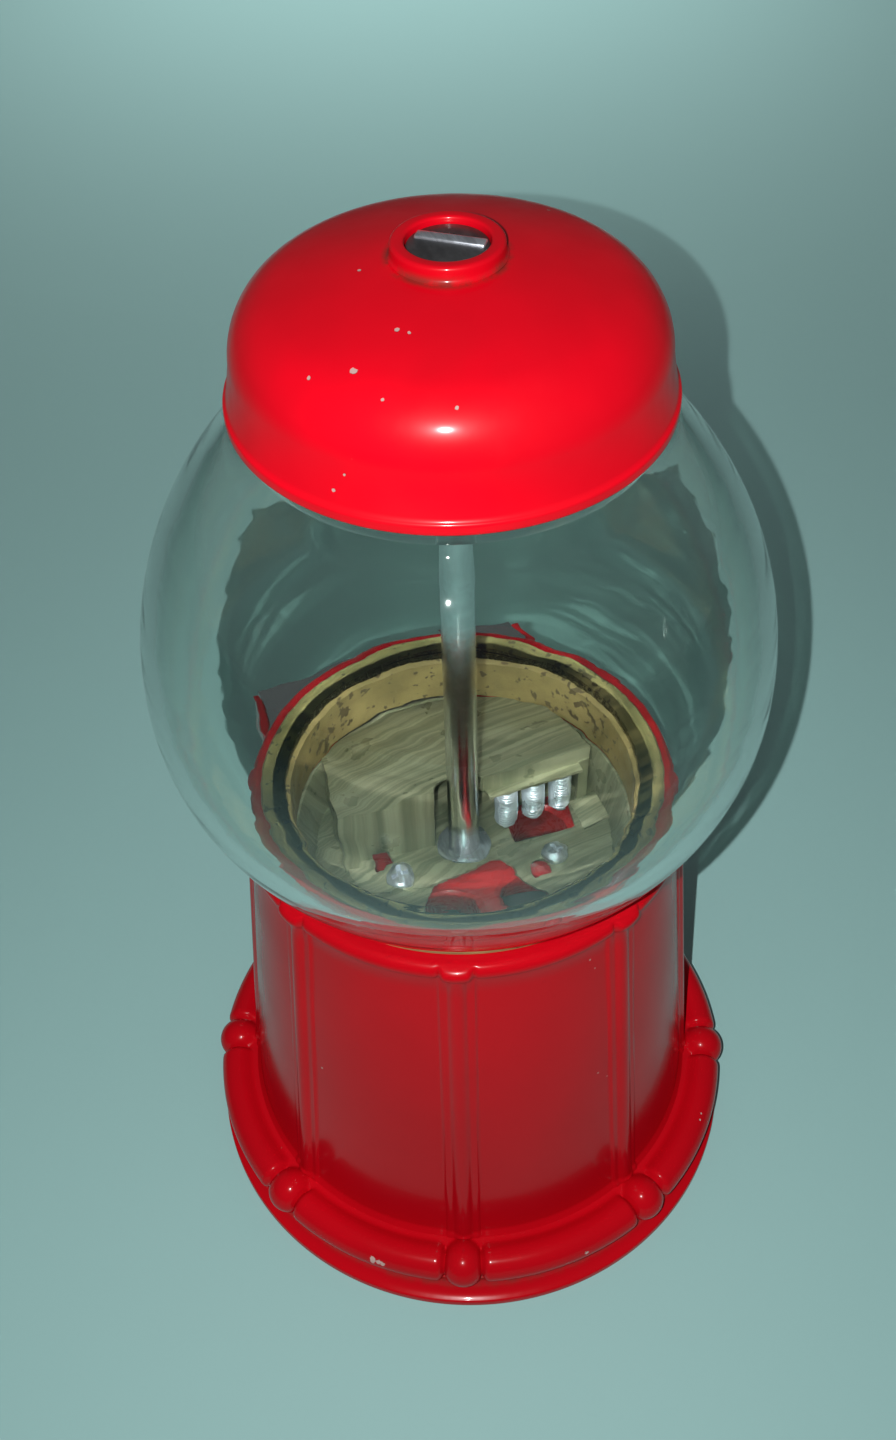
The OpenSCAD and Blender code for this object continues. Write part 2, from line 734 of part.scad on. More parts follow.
module drive_pinion() {
  base = 2.5;
  tip = 0.55;
  root_r = pinion_r - 2;
  tip_r = pinion_r + tooth_rise;
  color("goldenrod") translate([0, -crown_r + tooth_face / 2 - 0.2, shaft_z]) rotate([90, 0, 0])
    difference() {
      union() {
        cylinder(h = tooth_face - 0.4, r = root_r);
        for (i = [0 : pinion_n - 1])
          rotate([0, 0, i * 360 / pinion_n + 90]) linear_extrude(height = tooth_face - 0.4)
            polygon([[root_r - 1, -base / 2], [root_r + 0.6, -base / 2], [pinion_r, -0.95],
              [tip_r, -tip], [tip_r, tip], [pinion_r, 0.95], [root_r + 0.6, base / 2],
              [root_r - 1, base / 2]]);
      }
      translate([0, 0, -1]) cylinder(h = 10, r = shaft_r);
    }
}

module shaft_clip() {
  color("gray") translate([0, clip_y, shaft_z]) rotate([90, 0, 0]) difference() {
    cylinder(h = 0.7, r = 6.6);
    translate([0, 0, -1]) cylinder(h = 3, r = shaft_r - 0.6);
    translate([-2.2, -10, -1]) cube([4.4, 9, 3]);
  }
}

module bearing_bracket() {
  half = 31.5;
  back = coin_front - 26.8;
  front = coin_front - coin_t;
  color("silver") translate([0, 0, shaft_z - bracket_tall / 2]) difference() {
    union() {
      translate([-half, -back - 1.6, 0]) cube([2 * half, 1.6, bracket_tall]);
      for (s = [-1, 1]) {
        translate([s * (half - 0.8) - 0.8, -front, 0]) cube([1.6, front - back, bracket_tall]);
        translate([s * (half + 5) - 6, -front, 0]) cube([12, 1.6, bracket_tall]);
      }
      translate([0, -back - 4, bracket_tall / 2]) rotate([-90, 0, 0]) cylinder(h = 5, r = 8);
    }
    translate([0, -back - 9, bracket_tall / 2]) rotate([-90, 0, 0]) cylinder(h = 20, r = shaft_r + run_gap);
    for (s = [-1, 1], z = [-8, 8])
      translate([s * bracket_screw_x, -front + 3, bracket_tall / 2 + z]) rotate([90, 0, 0])
        cylinder(h = 6, r = screw_r);
  }
}

module bracket_screws() {
  color("silver") for (s = [-1, 1], z = [-8, 8])
    translate([s * bracket_screw_x, -coin_front + coin_t + 1.6, shaft_z + z]) rotate([-90, 0, 0])
      pan_screw(3.2, 2.2, screw_r, 3);
}

module coin_pawl() {
  color("gray") translate([pawl_x, pawl_y, pawl_z]) rotate([90, 0, 0]) difference() {
    linear_extrude(height = 2.8) {
      circle(r = 5);
      polygon([[-3, 1], [3.4, 2.4], [-10.6, 11.6], [-12.2, 9.6]]);
      polygon([[-2, -2.6], [3, -1.6], [9, -11], [6, -13]]);
    }
    translate([0, 0, -1]) cylinder(h = 6, r = pin_r + run_gap);
  }
}

module pawl_pin() {
  front = coin_front - coin_t;
  color("silver") translate([pawl_x, -front + 9, pawl_z]) rotate([90, 0, 0]) {
    cylinder(h = 9, r = pin_r);
    translate([0, 0, -0.9]) cylinder(h = 0.9, r = 3);
    translate([0, 0, 8]) cylinder(h = 1, r = 3);
  }
}

module pawl_spring() {
  turns = 3;
  wire = 0.4;
  color("silver") translate([pawl_x, pawl_y + 0.3 + wire, pawl_z]) rotate([-90, 0, 0]) rotate_extrude() {
    for (i = [0 : turns])
      translate([pin_r + 0.4, i * wire * 2]) circle(r = wire, $fn = 24);
    translate([pin_r + 0.2, 0]) square([wire, turns * wire * 2]);
  }
}

// ---------- chute ----------
module chute_side(inset) {
  top = ledge_z - (inset > 0 ? -1 : 0);
  duct_f = -exit_pitch - 12.6 + inset;
  duct_b = -exit_pitch + 12.6 - inset;
  mouth = -coin_front + coin_t + 0.2 - (inset > 0 ? 1 : 0);
  mouth_low = coin_low + coin_t + fit_gap + inset;
  polygon([[duct_f, top], [duct_f, shaft_z - 34.6 - inset], [mouth, hinge_z - 1 - inset], [mouth, mouth_low],
    [4 - housing_back, mouth_low + 2.8], [duct_b, hinge_z - 7 + inset], [duct_b, top]]);
}

module gumball_chute() {
  color("dimgray") difference() {
    union() {
      translate([-chute_hw, 0, 0]) rotate([90, 0, 90]) linear_extrude(height = 2 * chute_hw) chute_side(0);
      translate([-chute_screw_x - 4, -exit_pitch - 6, ledge_z - 1.4]) cube([2 * chute_screw_x + 8, 12, 1.4]);
    }
    translate([-chute_hw + 1.5, 0, 0]) rotate([90, 0, 90])
      linear_extrude(height = 2 * (chute_hw - 1.5)) chute_side(1.5);
    for (s = [-1, 1])
      translate([s * chute_screw_x, -exit_pitch, ledge_z - 3]) cylinder(h = 5, r = screw_r + 0.1);
  }
}

module chute_screws() {
  color("silver") for (s = [-1, 1])
    translate([s * chute_screw_x, -exit_pitch, ledge_z - 1.4]) rotate([180, 0, 0])
      pan_screw(3, 2, screw_r, 3);
}

module chute_door() {
  door_t = 1.8;
  low = hinge_z - door_h;
  color("gainsboro") difference() {
    union() {
      translate([-door_hw, -coin_front - 0.4 - door_t, low]) cube([2 * door_hw, door_t, door_h - 2.8]);
      translate([-door_hw, -hinge_y, hinge_z]) rotate([0, 90, 0]) cylinder(h = 2 * door_hw, r = 2.4);
      translate([-door_hw, -coin_front - 0.4 - door_t, hinge_z - 4]) cube([2 * door_hw, door_t, 3.4]);
      translate([-8, -coin_front - 4.4, low]) cube([16, 3, 2]);
    }
    translate([-door_hw - 1, -hinge_y, hinge_z]) rotate([0, 90, 0])
      cylinder(h = 2 * door_hw + 2, r = pin_r + run_gap);
  }
}

module door_pin() {
  color("silver") translate([-hinge_ear - 3, -hinge_y, hinge_z]) rotate([0, 90, 0])
    cylinder(h = 2 * hinge_ear + 6, r = pin_r);
}

body_casting();
bottom_plate();
rod_nut();
center_rod();
rod_tube();
rod_washer();
globe();
globe_gasket();
lid();
lid_gasket();
lid_screw();
wheel_housing();
dispensing_wheel();
crown_gear();
hopper_plate();
hopper_bowl();
ball_cover();
wiper_springs();
plate_screws();
plate_nuts();
tray_screws();
coin_housing();
housing_screws();
turn_handle();
handle_screw();
drive_shaft();
coin_carrier();
drive_pinion();
shaft_clip();
bearing_bracket();
bracket_screws();
coin_pawl();
pawl_pin();
pawl_spring();
gumball_chute();
chute_screws();
chute_door();
door_pin();
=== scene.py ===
"""Gumball machine: finishes, fine shapes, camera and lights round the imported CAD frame."""

import json
import logging
import math
from dataclasses import dataclass
from functools import cache
from typing import Callable, Iterable, Sequence, Union

import bmesh
import bpy
from mathutils import Matrix, Vector, noise


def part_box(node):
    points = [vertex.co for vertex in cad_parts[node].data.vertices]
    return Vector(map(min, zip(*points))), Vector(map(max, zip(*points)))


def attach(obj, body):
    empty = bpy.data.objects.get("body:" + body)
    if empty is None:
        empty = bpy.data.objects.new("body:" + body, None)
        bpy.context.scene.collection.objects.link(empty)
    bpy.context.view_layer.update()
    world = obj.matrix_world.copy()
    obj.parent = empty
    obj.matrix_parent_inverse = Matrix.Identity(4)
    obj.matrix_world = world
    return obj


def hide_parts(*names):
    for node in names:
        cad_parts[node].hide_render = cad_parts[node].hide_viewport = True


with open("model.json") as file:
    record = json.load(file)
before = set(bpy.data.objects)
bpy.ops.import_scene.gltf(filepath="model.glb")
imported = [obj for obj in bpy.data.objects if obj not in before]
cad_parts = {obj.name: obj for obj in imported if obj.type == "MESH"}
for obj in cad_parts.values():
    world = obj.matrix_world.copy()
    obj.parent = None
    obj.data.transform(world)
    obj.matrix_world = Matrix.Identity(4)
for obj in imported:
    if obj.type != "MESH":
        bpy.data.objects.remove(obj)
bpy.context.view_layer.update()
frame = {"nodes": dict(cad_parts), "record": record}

logging.basicConfig(level=logging.INFO, format="%(name)s: %(message)s")
log = logging.getLogger("gumball_machine")

MM = 0.001
Point = tuple[float, float]
Place = tuple[float, float, float]
Colour = tuple[float, float, float, float]
Socket = bpy.types.NodeSocket
Node = bpy.types.Node
Tree = bpy.types.NodeTree
Piece = bpy.types.Object
Shape = bmesh.types.BMesh
Value = Union[float, Sequence[float], Socket]


# ---------- shader helpers ----------
class Shader:
    """Adds and links the nodes of one material or node group."""

    def __init__(self, tree: Tree) -> None:
        """Keeps the tree that the nodes go into."""
        self.tree = tree

    def node(self, kind: str, inputs: dict, **settings) -> Node:
        """Adds one node.

        Args:
            kind: Blender's name of the node type.
            inputs: Socket name or number, with a value or a socket to link from.
            settings: Properties of the node itself.

        Returns:
            The new node.
        """
        made = self.tree.nodes.new(kind)
        for key, value in settings.items():
            setattr(made, key, value)
        for key, value in inputs.items():
            if isinstance(value, Socket):
                self.tree.links.new(value, made.inputs[key])
            else:
                made.inputs[key].default_value = value
        return made

    def place(self) -> Socket:
        """The point's place in the piece's own frame, in metres."""
        return self.node("ShaderNodeTexCoord", {}).outputs["Object"]

    def math(self, operation: str, a: Value, b: Value = 0.0, clamp: bool = False) -> Socket:
        """One sum of two numbers or sockets, clamped to 0..1 on request."""
        made = self.node("ShaderNodeMath", {0: a, 1: b}, operation=operation, use_clamp=clamp)
        return made.outputs[0]

    def vector(self, operation: str, a: Value, b: Value = (0, 0, 0), out: str = "Vector") -> Socket:
        """One sum of two vectors, such as a distance or a product."""
        made = self.node("ShaderNodeVectorMath", {0: a, 1: b}, operation=operation)
        return made.outputs[out]

    def noise(self, where: Socket, scale: Value, detail: float = 3.0, rough: float = 0.55) -> Socket:
        """A noise pattern's value at a place."""
        inputs = {"Vector": where, "Scale": scale, "Detail": detail, "Roughness": rough}
        return self.node("ShaderNodeTexNoise", inputs).outputs["Fac"]

    def span(
        self, value: Socket, low: Value, high: Value, to_low: Value = 0.0, to_high: Value = 1.0
    ) -> Socket:
        """A value carried smoothly from one range to another and held at its ends."""
        inputs = {
            "Value": value, "From Min": low, "From Max": high, "To Min": to_low, "To Max": to_high,
        }
        made = self.node("ShaderNodeMapRange", inputs, interpolation_type="SMOOTHSTEP")
        return made.outputs["Result"]

    def blend(self, factor: Value, a: Value, b: Value) -> Socket:
        """One colour turning into another as the factor goes from 0 to 1."""
        made = self.node("ShaderNodeMix", {0: factor, 6: a, 7: b}, data_type="RGBA")
        return made.outputs[2]

    def bump(self, height: Socket, distance: float) -> Socket:
        """A normal raised by a height, which is one distance tall, in millimetres."""
        inputs = {"Height": height, "Distance": distance * MM}
        return self.node("ShaderNodeBump", inputs).outputs["Normal"]

    def radius(self, place: Socket) -> Socket:
        """A place's distance from the Z axis."""
        return self.vector("LENGTH", self.vector("MULTIPLY", place, (1.0, 1.0, 0.0)), out="Value")

    def mottle(self, scale: float, low: float, high: float) -> Socket:
        """Uneven cloudiness between two values."""
        return self.effect(Effects.mottle(), scale=scale, low=low, high=high)

    def specks(self, scale: float, level: float) -> Socket:
        """A mask of small specks, fewer the higher the level."""
        return self.effect(Effects.specks(), scale=scale, level=level)

    def streaks(self, stretch: Place) -> Socket:
        """Long streaks, squeezed most along the axis with the largest number."""
        return self.effect(Effects.streaks(), stretch=stretch)

    def effect(self, group: Tree, **values: Value) -> Socket:
        """Places a shared effect with its own values, and gives its output."""
        made = self.node("ShaderNodeGroup", {}, node_tree=group)
        feed(self, made, **{key.capitalize(): value for key, value in values.items()})
        return made.outputs["Value"]


def shared(**inputs: str) -> Callable:
    """Makes a function into one that builds a node group, once, with one output named Value.

    Args:
        inputs: Input names with the last word of their socket type.

    Returns:
        The decorator. The function it decorates takes the group's shader and its input sockets.
    """
    def decorate(build: Callable) -> Callable:
        """Keeps the function that draws the group's inside."""
        @cache
        def group() -> Tree:
            """The group's tree, built the first time it is asked for."""
            tree = bpy.data.node_groups.new(build.__name__, "ShaderNodeTree")
            for key, kind in inputs.items():
                tree.interface.new_socket(key, in_out="INPUT", socket_type="NodeSocket" + kind)
            tree.interface.new_socket("Value", in_out="OUTPUT", socket_type="NodeSocketFloat")
            shader = Shader(tree)
            taken = shader.node("NodeGroupInput", {}).outputs
            shader.node("NodeGroupOutput", {"Value": build(shader, taken)})
            return tree
        return group
    return decorate


class Effects:
    """The effects that several finishes share, each built once as a node group."""

    @staticmethod
    @shared(Scale="Float", Low="Float", High="Float")
    def mottle(s: Shader, take: Sequence[Socket]) -> Socket:
        """Uneven cloudiness between two values."""
        cloud = s.noise(s.place(), take["Scale"], 4.0)
        return s.span(cloud, 0.3, 0.7, take["Low"], take["High"])

    @staticmethod
    @shared(Scale="Float", Level="Float")
    def specks(s: Shader, take: Sequence[Socket]) -> Socket:
        """Small irregular specks: the peaks of a fine noise, thinned by a broad one."""
        place = s.place()
        fine = s.noise(place, take["Scale"], 2.0)
        broad = s.noise(place, s.math("MULTIPLY", take["Scale"], 0.12), 2.0)
        level = s.math("ADD", fine, s.math("MULTIPLY", broad, 0.45))
        edge = s.math("ADD", take["Level"], 0.05)
        return s.span(level, take["Level"], edge)

    @staticmethod
    @shared(Centre="Vector", Size="Float")
    def chip(s: Shader, take: Sequence[Socket]) -> Socket:
        """One ragged paint chip at a place on the piece."""
        place = s.place()
        shake = s.noise(place, 420.0, 3.0)
        gap = s.vector("DISTANCE", place, take["Centre"], "Value")
        rough = s.math("MULTIPLY", take["Size"], s.span(shake, 0.25, 0.75, 0.35, 1.35))
        edge = s.math("MULTIPLY", rough, 0.8)
        return s.span(gap, rough, edge)

    @staticmethod
    @shared(Radius="Float", Height="Float", Width="Float")
    def ring_band(s: Shader, take: Sequence[Socket]) -> Socket:
        """A broken band round the axis at one radius and height: rubbed wear on the lid's collar, and
        painted shade in the body's cove under the ring.
        """
        place = s.place()
        flat = s.radius(place)
        high = s.vector("DOT_PRODUCT", place, (0.0, 0.0, 1.0), "Value")
        across = s.math("POWER", s.math("SUBTRACT", flat, take["Radius"]), 2.0)
        along = s.math("POWER", s.math("SUBTRACT", high, take["Height"]), 2.0)
        gap = s.math("SQRT", s.math("ADD", across, along))
        near = s.span(s.math("DIVIDE", gap, take["Width"]), 1.0, 0.0)
        breaks = s.span(s.noise(place, 160.0, 4.0), 0.35, 0.62)
        return s.math("MULTIPLY", near, breaks, True)

    @staticmethod
    @shared(Stretch="Vector")
    def streaks(s: Shader, take: Sequence[Socket]) -> Socket:
        """Long streaks drawn out along one direction, such as rolling or polishing marks."""
        swirl = s.node("ShaderNodeTexNoise", {"Vector": s.place(), "Scale": 22.0}).outputs["Color"]
        bend = s.vector("SCALE", swirl)
        bend.node.inputs["Scale"].default_value = 0.006
        drawn = s.vector("MULTIPLY", s.vector("ADD", s.place(), bend), take["Stretch"])
        return s.noise(drawn, 1.0, 4.0, 0.6)

    @staticmethod
    @shared(Centre="Vector", Fineness="Float")
    def arcs(s: Shader, take: Sequence[Socket]) -> Socket:
        """Arcs round a far centre, fine across them and drawn out along them: painted shadow streaks
        from the wavy glass.
        """
        place = s.vector("SUBTRACT", s.place(), take["Centre"])
        across = s.math("MULTIPLY", s.radius(place), take["Fineness"])
        along = s.vector("DOT_PRODUCT", place, (5.0, 2.0, 3.0), "Value")
        drawn = s.node("ShaderNodeCombineXYZ", {0: across, 1: along}).outputs[0]
        return s.noise(drawn, 1.0, 5.0, 0.62)


# ---------- finishes ----------
@dataclass(frozen=True)
class Chip:
    """A paint chip: its place in millimetres and its rough radius."""

    at: Place
    size: float


@dataclass(frozen=True)
class Finish:
    """A finish: the material slot of the record it stands for, and its main values."""

    slot: str
    colour: Colour
    roughness: float = 0.3
    metallic: float = 0.0
    name: str = ""

    def material(self) -> bpy.types.Material:
        """The finish's material, built the first time it is asked for."""
        name = self.name or self.slot
        known = bpy.data.materials.get("finish_" + name)
        if known:
            return known
        made = bpy.data.materials.new("finish_" + name)
        made.use_nodes = True
        shader = Shader(made.node_tree)
        principled = made.node_tree.nodes["Principled BSDF"]
        feed(shader, principled, Metallic=self.metallic, Roughness=self.roughness)
        self.dress(shader, principled)
        return made

    def dress(self, s: Shader, principled: Node) -> None:
        """Adds the finish's own detail to the shader.

        Args:
            s: Helper for the material's tree.
            principled: The shader node that the detail feeds.
        """
        raise NotImplementedError


def shaded(colour: Colour, factor: float) -> Colour:
    """A colour made darker or lighter by a factor."""
    return tuple(min(1.0, part * factor) for part in colour[:3]) + (1.0,)


def feed(shader: Shader, principled: Node, **values: Value) -> None:
    """Sets the shader's inputs, named with underscores for spaces, or links sockets into them."""
    for key, value in values.items():
        socket = principled.inputs[key.replace("_", " ")]
        if isinstance(value, Socket):
            shader.tree.links.new(value, socket)
        else:
            socket.default_value = value


@dataclass(frozen=True)
class Enamel(Finish):
    """Thick gloss enamel on a casting, with chips and pinholes, and dark rings: rubbed wear on the lid's
    collar, painted shade in the body's cove.
    """

    under: Colour = (0.55, 0.36, 0.33, 1.0)
    deep: Colour = (0.36, 0.002, 0.006, 1.0)
    # Dark tone of the rings: grime on the lid's collar, painted shade in the body's cove.
    grime_and_shade: Colour = (0.13, 0.03, 0.02, 1.0)
    peel: float = 0.12
    shine: float = 0.09
    coat: float = 0.09
    coat_roughness: float = 0.05
    chips: tuple[Chip, ...] = ()
    worn_and_shaded_rings: tuple[tuple[float, float, float], ...] = ()

    def dress(self, s: Shader, principled: Node) -> None:
        """Paint with orange peel, chips down to the primer, and darker rings: rubbed wear on the lid's
        collar and painted shade in the body's cove under the ring.
        """
        paint = s.blend(s.mottle(9.0, 0.0, 0.5), self.colour, self.deep)
        worn = s.specks(330.0, 1.08)
        for chip in self.chips:
            centre = tuple(MM * part for part in chip.at)
            mask = s.effect(Effects.chip(), centre=centre, size=MM * chip.size)
            worn = s.math("MAXIMUM", worn, mask)
        paint = s.blend(worn, paint, self.under)
        # Each ring darkens the paint: rubbed wear where it sits on the lid's collar, painted shade where
        # it sits in the body's cove.
        for radius, height, width in self.worn_and_shaded_rings:
            values = {"radius": MM * radius, "height": MM * height, "width": MM * width}
            ring = s.effect(Effects.ring_band(), **values)
            paint = s.blend(s.math("MULTIPLY", ring, 0.75), paint, self.grime_and_shade)
        gloss = s.mottle(35.0, self.roughness * 0.8, self.roughness * 1.25)
        rough = s.math("MAXIMUM", gloss, s.math("MULTIPLY", worn, 0.7))
        wave = s.noise(s.place(), 260.0, 1.0)
        height = s.math("SUBTRACT", s.math("MULTIPLY", wave, self.peel), s.math("MULTIPLY", worn, 0.8))
        feed(s, principled, Base_Color=paint, Roughness=rough, Normal=s.bump(height, 0.15))
        feed(s, principled, Specular_IOR_Level=self.shine)
        feed(s, principled, Coat_Weight=self.coat, Coat_Roughness=self.coat_roughness)


@dataclass(frozen=True)
class Glass(Finish):
    """Clear pressed glass with a green cast and fine seeds.

    Its shadow has dark and clear streaks, strong where the glass is thick, below thick_to, and faint
    above thin_from. Both heights are in metres.
    """

    ior: float = 1.5
    wave: float = 0.014
    wave_stretch: Place = (24.0, 24.0, 90.0)
    seed_tone: Colour = (0.7, 0.76, 0.74, 1.0)
    streak_stretch: Place = (10.0, 10.0, 210.0)
    thick_dark: Colour = (0.16, 0.22, 0.2, 1.0)
    thick_clear: Colour = (1.0, 1.0, 1.0, 1.0)
    thin_dark: Colour = (0.55, 0.6, 0.57, 1.0)
    thin_clear: Colour = (0.95, 1.0, 0.97, 1.0)
    thick_to: float = 0.262
    thin_from: float = 0.285
    rim_tone: Colour = (0.12, 0.2, 0.17, 1.0)

    def dress(self, s: Shader, principled: Node) -> None:
        """Glass with a faintly uneven surface, whose shadow is broken into bright and dark streaks."""
        feed(s, principled, Transmission_Weight=1.0, IOR=self.ior)
        tint = s.blend(s.math("MULTIPLY", s.specks(420.0, 1.1), 0.5), self.colour, self.seed_tone)
        uneven = s.bump(s.streaks(self.wave_stretch), self.wave)
        feed(s, principled, Base_Color=tint, Roughness=s.mottle(60.0, 0.0, 0.02), Normal=uneven)
        passed = self.passed_light(s)
        clear = s.node("ShaderNodeBsdfTransparent", {"Color": passed})
        path = s.node("ShaderNodeLightPath", {})
        mixed = s.node("ShaderNodeMixShader", {0: path.outputs["Is Shadow Ray"]})
        s.tree.links.new(principled.outputs[0], mixed.inputs[1])
        s.tree.links.new(clear.outputs[0], mixed.inputs[2])
        s.tree.links.new(mixed.outputs[0], s.tree.nodes["Material Output"].inputs["Surface"])

    def passed_light(self, s: Shader) -> Socket:
        """The light that one face lets through: streaks, and little of it where the face is edge on."""
        drawn = s.vector("MULTIPLY", s.place(), self.streak_stretch)
        lines = s.span(s.noise(drawn, 1.0, 3.0, 0.65), 0.49, 0.6)
        height = s.node("ShaderNodeSeparateXYZ", {0: s.place()}).outputs["Z"]
        thick = s.blend(lines, self.thick_dark, self.thick_clear)
        thin = s.blend(lines, self.thin_dark, self.thin_clear)
        streak = s.blend(s.span(height, self.thick_to, self.thin_from), thick, thin)
        facing = s.node("ShaderNodeLayerWeight", {"Blend": 0.5}).outputs["Facing"]
        return s.blend(s.span(facing, 0.45, 0.95), streak, self.rim_tone)


@dataclass(frozen=True)
class AgedVinyl(Finish):
    """Soft vinyl that has yellowed and taken up dirt."""

    dirt: Colour = (0.09, 0.06, 0.03, 1.0)

    def dress(self, s: Shader, principled: Node) -> None:
        """Blotches of age, dark grains and a slightly pitted skin."""
        base = s.blend(s.mottle(70.0, 0.0, 1.0), self.colour, shaded(self.colour, 1.45))
        grains = s.specks(260.0, 0.84)
        tone = s.blend(s.math("MULTIPLY", grains, 0.85), base, self.dirt)
        height = s.math("SUBTRACT", s.noise(s.place(), 500.0), grains)
        rough = s.mottle(120.0, 0.35, 0.6)
        feed(s, principled, Base_Color=tone, Roughness=rough, Normal=s.bump(height, 0.1))


@dataclass(frozen=True)
class Metal(Finish):
    """Plated or bare metal with drawn-out streaks, haze and small stains."""

    stretch: Place = (40.0, 900.0, 400.0)
    contrast: float = 0.35
    haze: float = 0.15
    stain: Colour = (0.16, 0.12, 0.07, 1.0)
    stain_level: float = 1.02
    grain: float = 0.05

    def dress(self, s: Shader, principled: Node) -> None:
        """Streaks in tone, gloss and height, with stains where the plating has gone."""
        streak = s.streaks(self.stretch)
        dark = shaded(self.colour, 1.0 - self.contrast)
        tone = s.blend(s.span(streak, 0.35, 0.65), dark, self.colour)
        stains = s.specks(190.0, self.stain_level)
        tone = s.blend(s.math("MULTIPLY", stains, 0.7), tone, self.stain)
        fog = s.mottle(45.0, 0.0, self.haze)
        rough = s.math("ADD", s.math("ADD", fog, self.roughness), s.math("MULTIPLY", stains, 0.3))
        feed(s, principled, Base_Color=tone, Roughness=rough, Normal=s.bump(streak, self.grain))


@dataclass(frozen=True)
class ShadowStreakedSheet(Finish):
    """Thin plated sheet with a yellowed lacquer, with dark arcs painted on it as the streaky shadow of
    the wavy glass.
    """

    # The tone of the dark arcs, which are painted shadow streaks.
    dark: Colour = (0.19, 0.2, 0.125, 1.0)
    fog: Colour = (0.2, 0.19, 0.1, 1.0)
    stain: Colour = (0.06, 0.045, 0.02, 1.0)
    centre: Place = (-60.0, 210.0, 0.0)
    fineness: float = 430.0

    def dress(self, s: Shader, principled: Node) -> None:
        """Dark and light arcs of painted shadow streaks, cloudy gloss and a few brown stains."""
        centre = tuple(MM * part for part in self.centre)
        arc = s.effect(Effects.arcs(), centre=centre, fineness=self.fineness)
        # The arcs darken the sheet in streaks: painted shadow from the wavy glass.
        tone = s.blend(s.span(arc, 0.34, 0.66), self.dark, self.colour)
        tone = s.blend(s.mottle(24.0, 0.0, 0.35), tone, self.fog)
        tone = s.blend(s.math("MULTIPLY", s.specks(170.0, 1.03), 0.6), tone, self.stain)
        rough = s.mottle(60.0, self.roughness, self.roughness * 1.8)
        feed(s, principled, Base_Color=tone, Roughness=rough, Normal=s.bump(arc, 0.03))


@dataclass(frozen=True)
class Plastic(Finish):
    """Moulded plastic with a soft sheen and light scuffs."""

    scuff: float = 0.25
    texture: float = 0.04

    def dress(self, s: Shader, principled: Node) -> None:
        """Slight flow marks in tone, fine grain and scuffs that dull the surface."""
        tone = s.blend(s.mottle(28.0, 0.0, 1.0), shaded(self.colour, 0.72), self.colour)
        rub = s.streaks((90.0, 700.0, 500.0))
        rough = s.span(rub, 0.4, 0.75, self.roughness, self.roughness + self.scuff)
        grain = s.noise(s.place(), 900.0, 1.0)
        feed(s, principled, Base_Color=tone, Roughness=rough, Normal=s.bump(grain, self.texture))


def chips(*rows: tuple[float, float, float, float]) -> tuple[Chip, ...]:
    """Paint chips, each given by its place and radius in millimetres."""
    return tuple(Chip((x, y, z), size) for x, y, z, size in rows)


BODY_CHIPS = chips(
    (67.3, 75.2, 22.4, 1.7), (65.6, 76.7, 22.0, 1.3), (64.2, 77.9, 21.8, 1.5),
    (-7.6, 100.8, 21.3, 1.0), (68.6, 38.4, 99.4, 0.5), (-69.8, 69.1, 25.7, 0.8),
    (-71.5, 66.8, 26.1, 0.5), (-19.4, 76.0, 101.0, 0.45), (-23.4, 75.4, 95.7, 0.4),
    (-15.7, 71.3, 163.2, 0.5), (-17.7, 71.3, 157.8, 0.4), (79.0, 39.7, 25.8, 0.9),
)
LID_CHIPS = chips(
    (44.0, 23.9, 365.1, 0.6), (34.5, 29.4, 367.9, 0.95), (21.5, 23.1, 372.1, 0.7),
    (19.3, 25.3, 372.0, 0.65), (22.1, -3.2, 374.0, 0.6), (31.1, 39.1, 365.2, 0.55),
    (16.1, 48.0, 364.6, 0.6), (41.9, 40.0, 347.6, 0.7), (44.3, 38.5, 342.8, 0.7),
    (-36.2, -21.3, 369.1, 0.7),
)

BODY_PAINT = Enamel(
    "red_paint", (0.52, 0.002, 0.008, 1.0), 0.2, name="body_enamel", chips=BODY_CHIPS,
    # This ring lies in the cove under the base ring: painted shade, not wear.
    worn_and_shaded_rings=((96.4, 10.5, 6.0),),
)
# The lid's red is painted much lighter than the body's, though both are the same red paint: painted
# light, for the lid lying nearer the lamp.
LIT_LID_PAINT = Enamel(
    "red_paint", (0.94, 0.001, 0.014, 1.0), 0.4, name="lid_enamel_lit", shine=0.12, coat=0.32,
    coat_roughness=0.13, chips=LID_CHIPS, worn_and_shaded_rings=((14.9, 375.4, 2.4),),
)
PRESSED_GLASS = Glass("glass", (0.93, 0.985, 0.96, 1.0), 0.0)
VINYL = AgedVinyl("tan_gasket", (0.25, 0.185, 0.075, 1.0), 0.5)
# Its dark arcs are painted shadow streaks.
PLATED = ShadowStreakedSheet("plated_sheet", (0.44, 0.43, 0.29, 1.0), 0.26, 0.3)
CHROME = Metal("chrome", (0.8, 0.81, 0.82, 1.0), 0.15, 1.0, contrast=0.08, haze=0.08, stain_level=1.12)
SPRING_WIRE = Metal("chrome", (0.8, 0.87, 0.95, 1.0), 0.2, 0.6, name="spring_wire", contrast=0.1)
ZINC = Metal("zinc", (0.76, 0.81, 0.88, 1.0), 0.22, 0.8, stretch=(500.0, 90.0, 500.0), haze=0.2)
TURNED = (260.0, 120.0, 300.0)
DARK_STEEL = Metal("dark_steel", (0.2, 0.2, 0.205, 1.0), 0.36, 0.9, stretch=TURNED, haze=0.2)
BRASS = Metal("brass", (0.62, 0.44, 0.16, 1.0), 0.22, 1.0, stretch=TURNED)
RED_PLASTIC = Plastic("red_plastic", (0.5, 0.008, 0.012, 1.0), 0.24)
GREY_PLASTIC = Plastic("grey_plastic", (0.1, 0.105, 0.11, 1.0), 0.42)
BLACK_PLATE = Plastic("black_plate", (0.02, 0.02, 0.021, 1.0), 0.5, texture=0.08)
METALS = (PLATED, CHROME, ZINC, DARK_STEEL, BRASS)
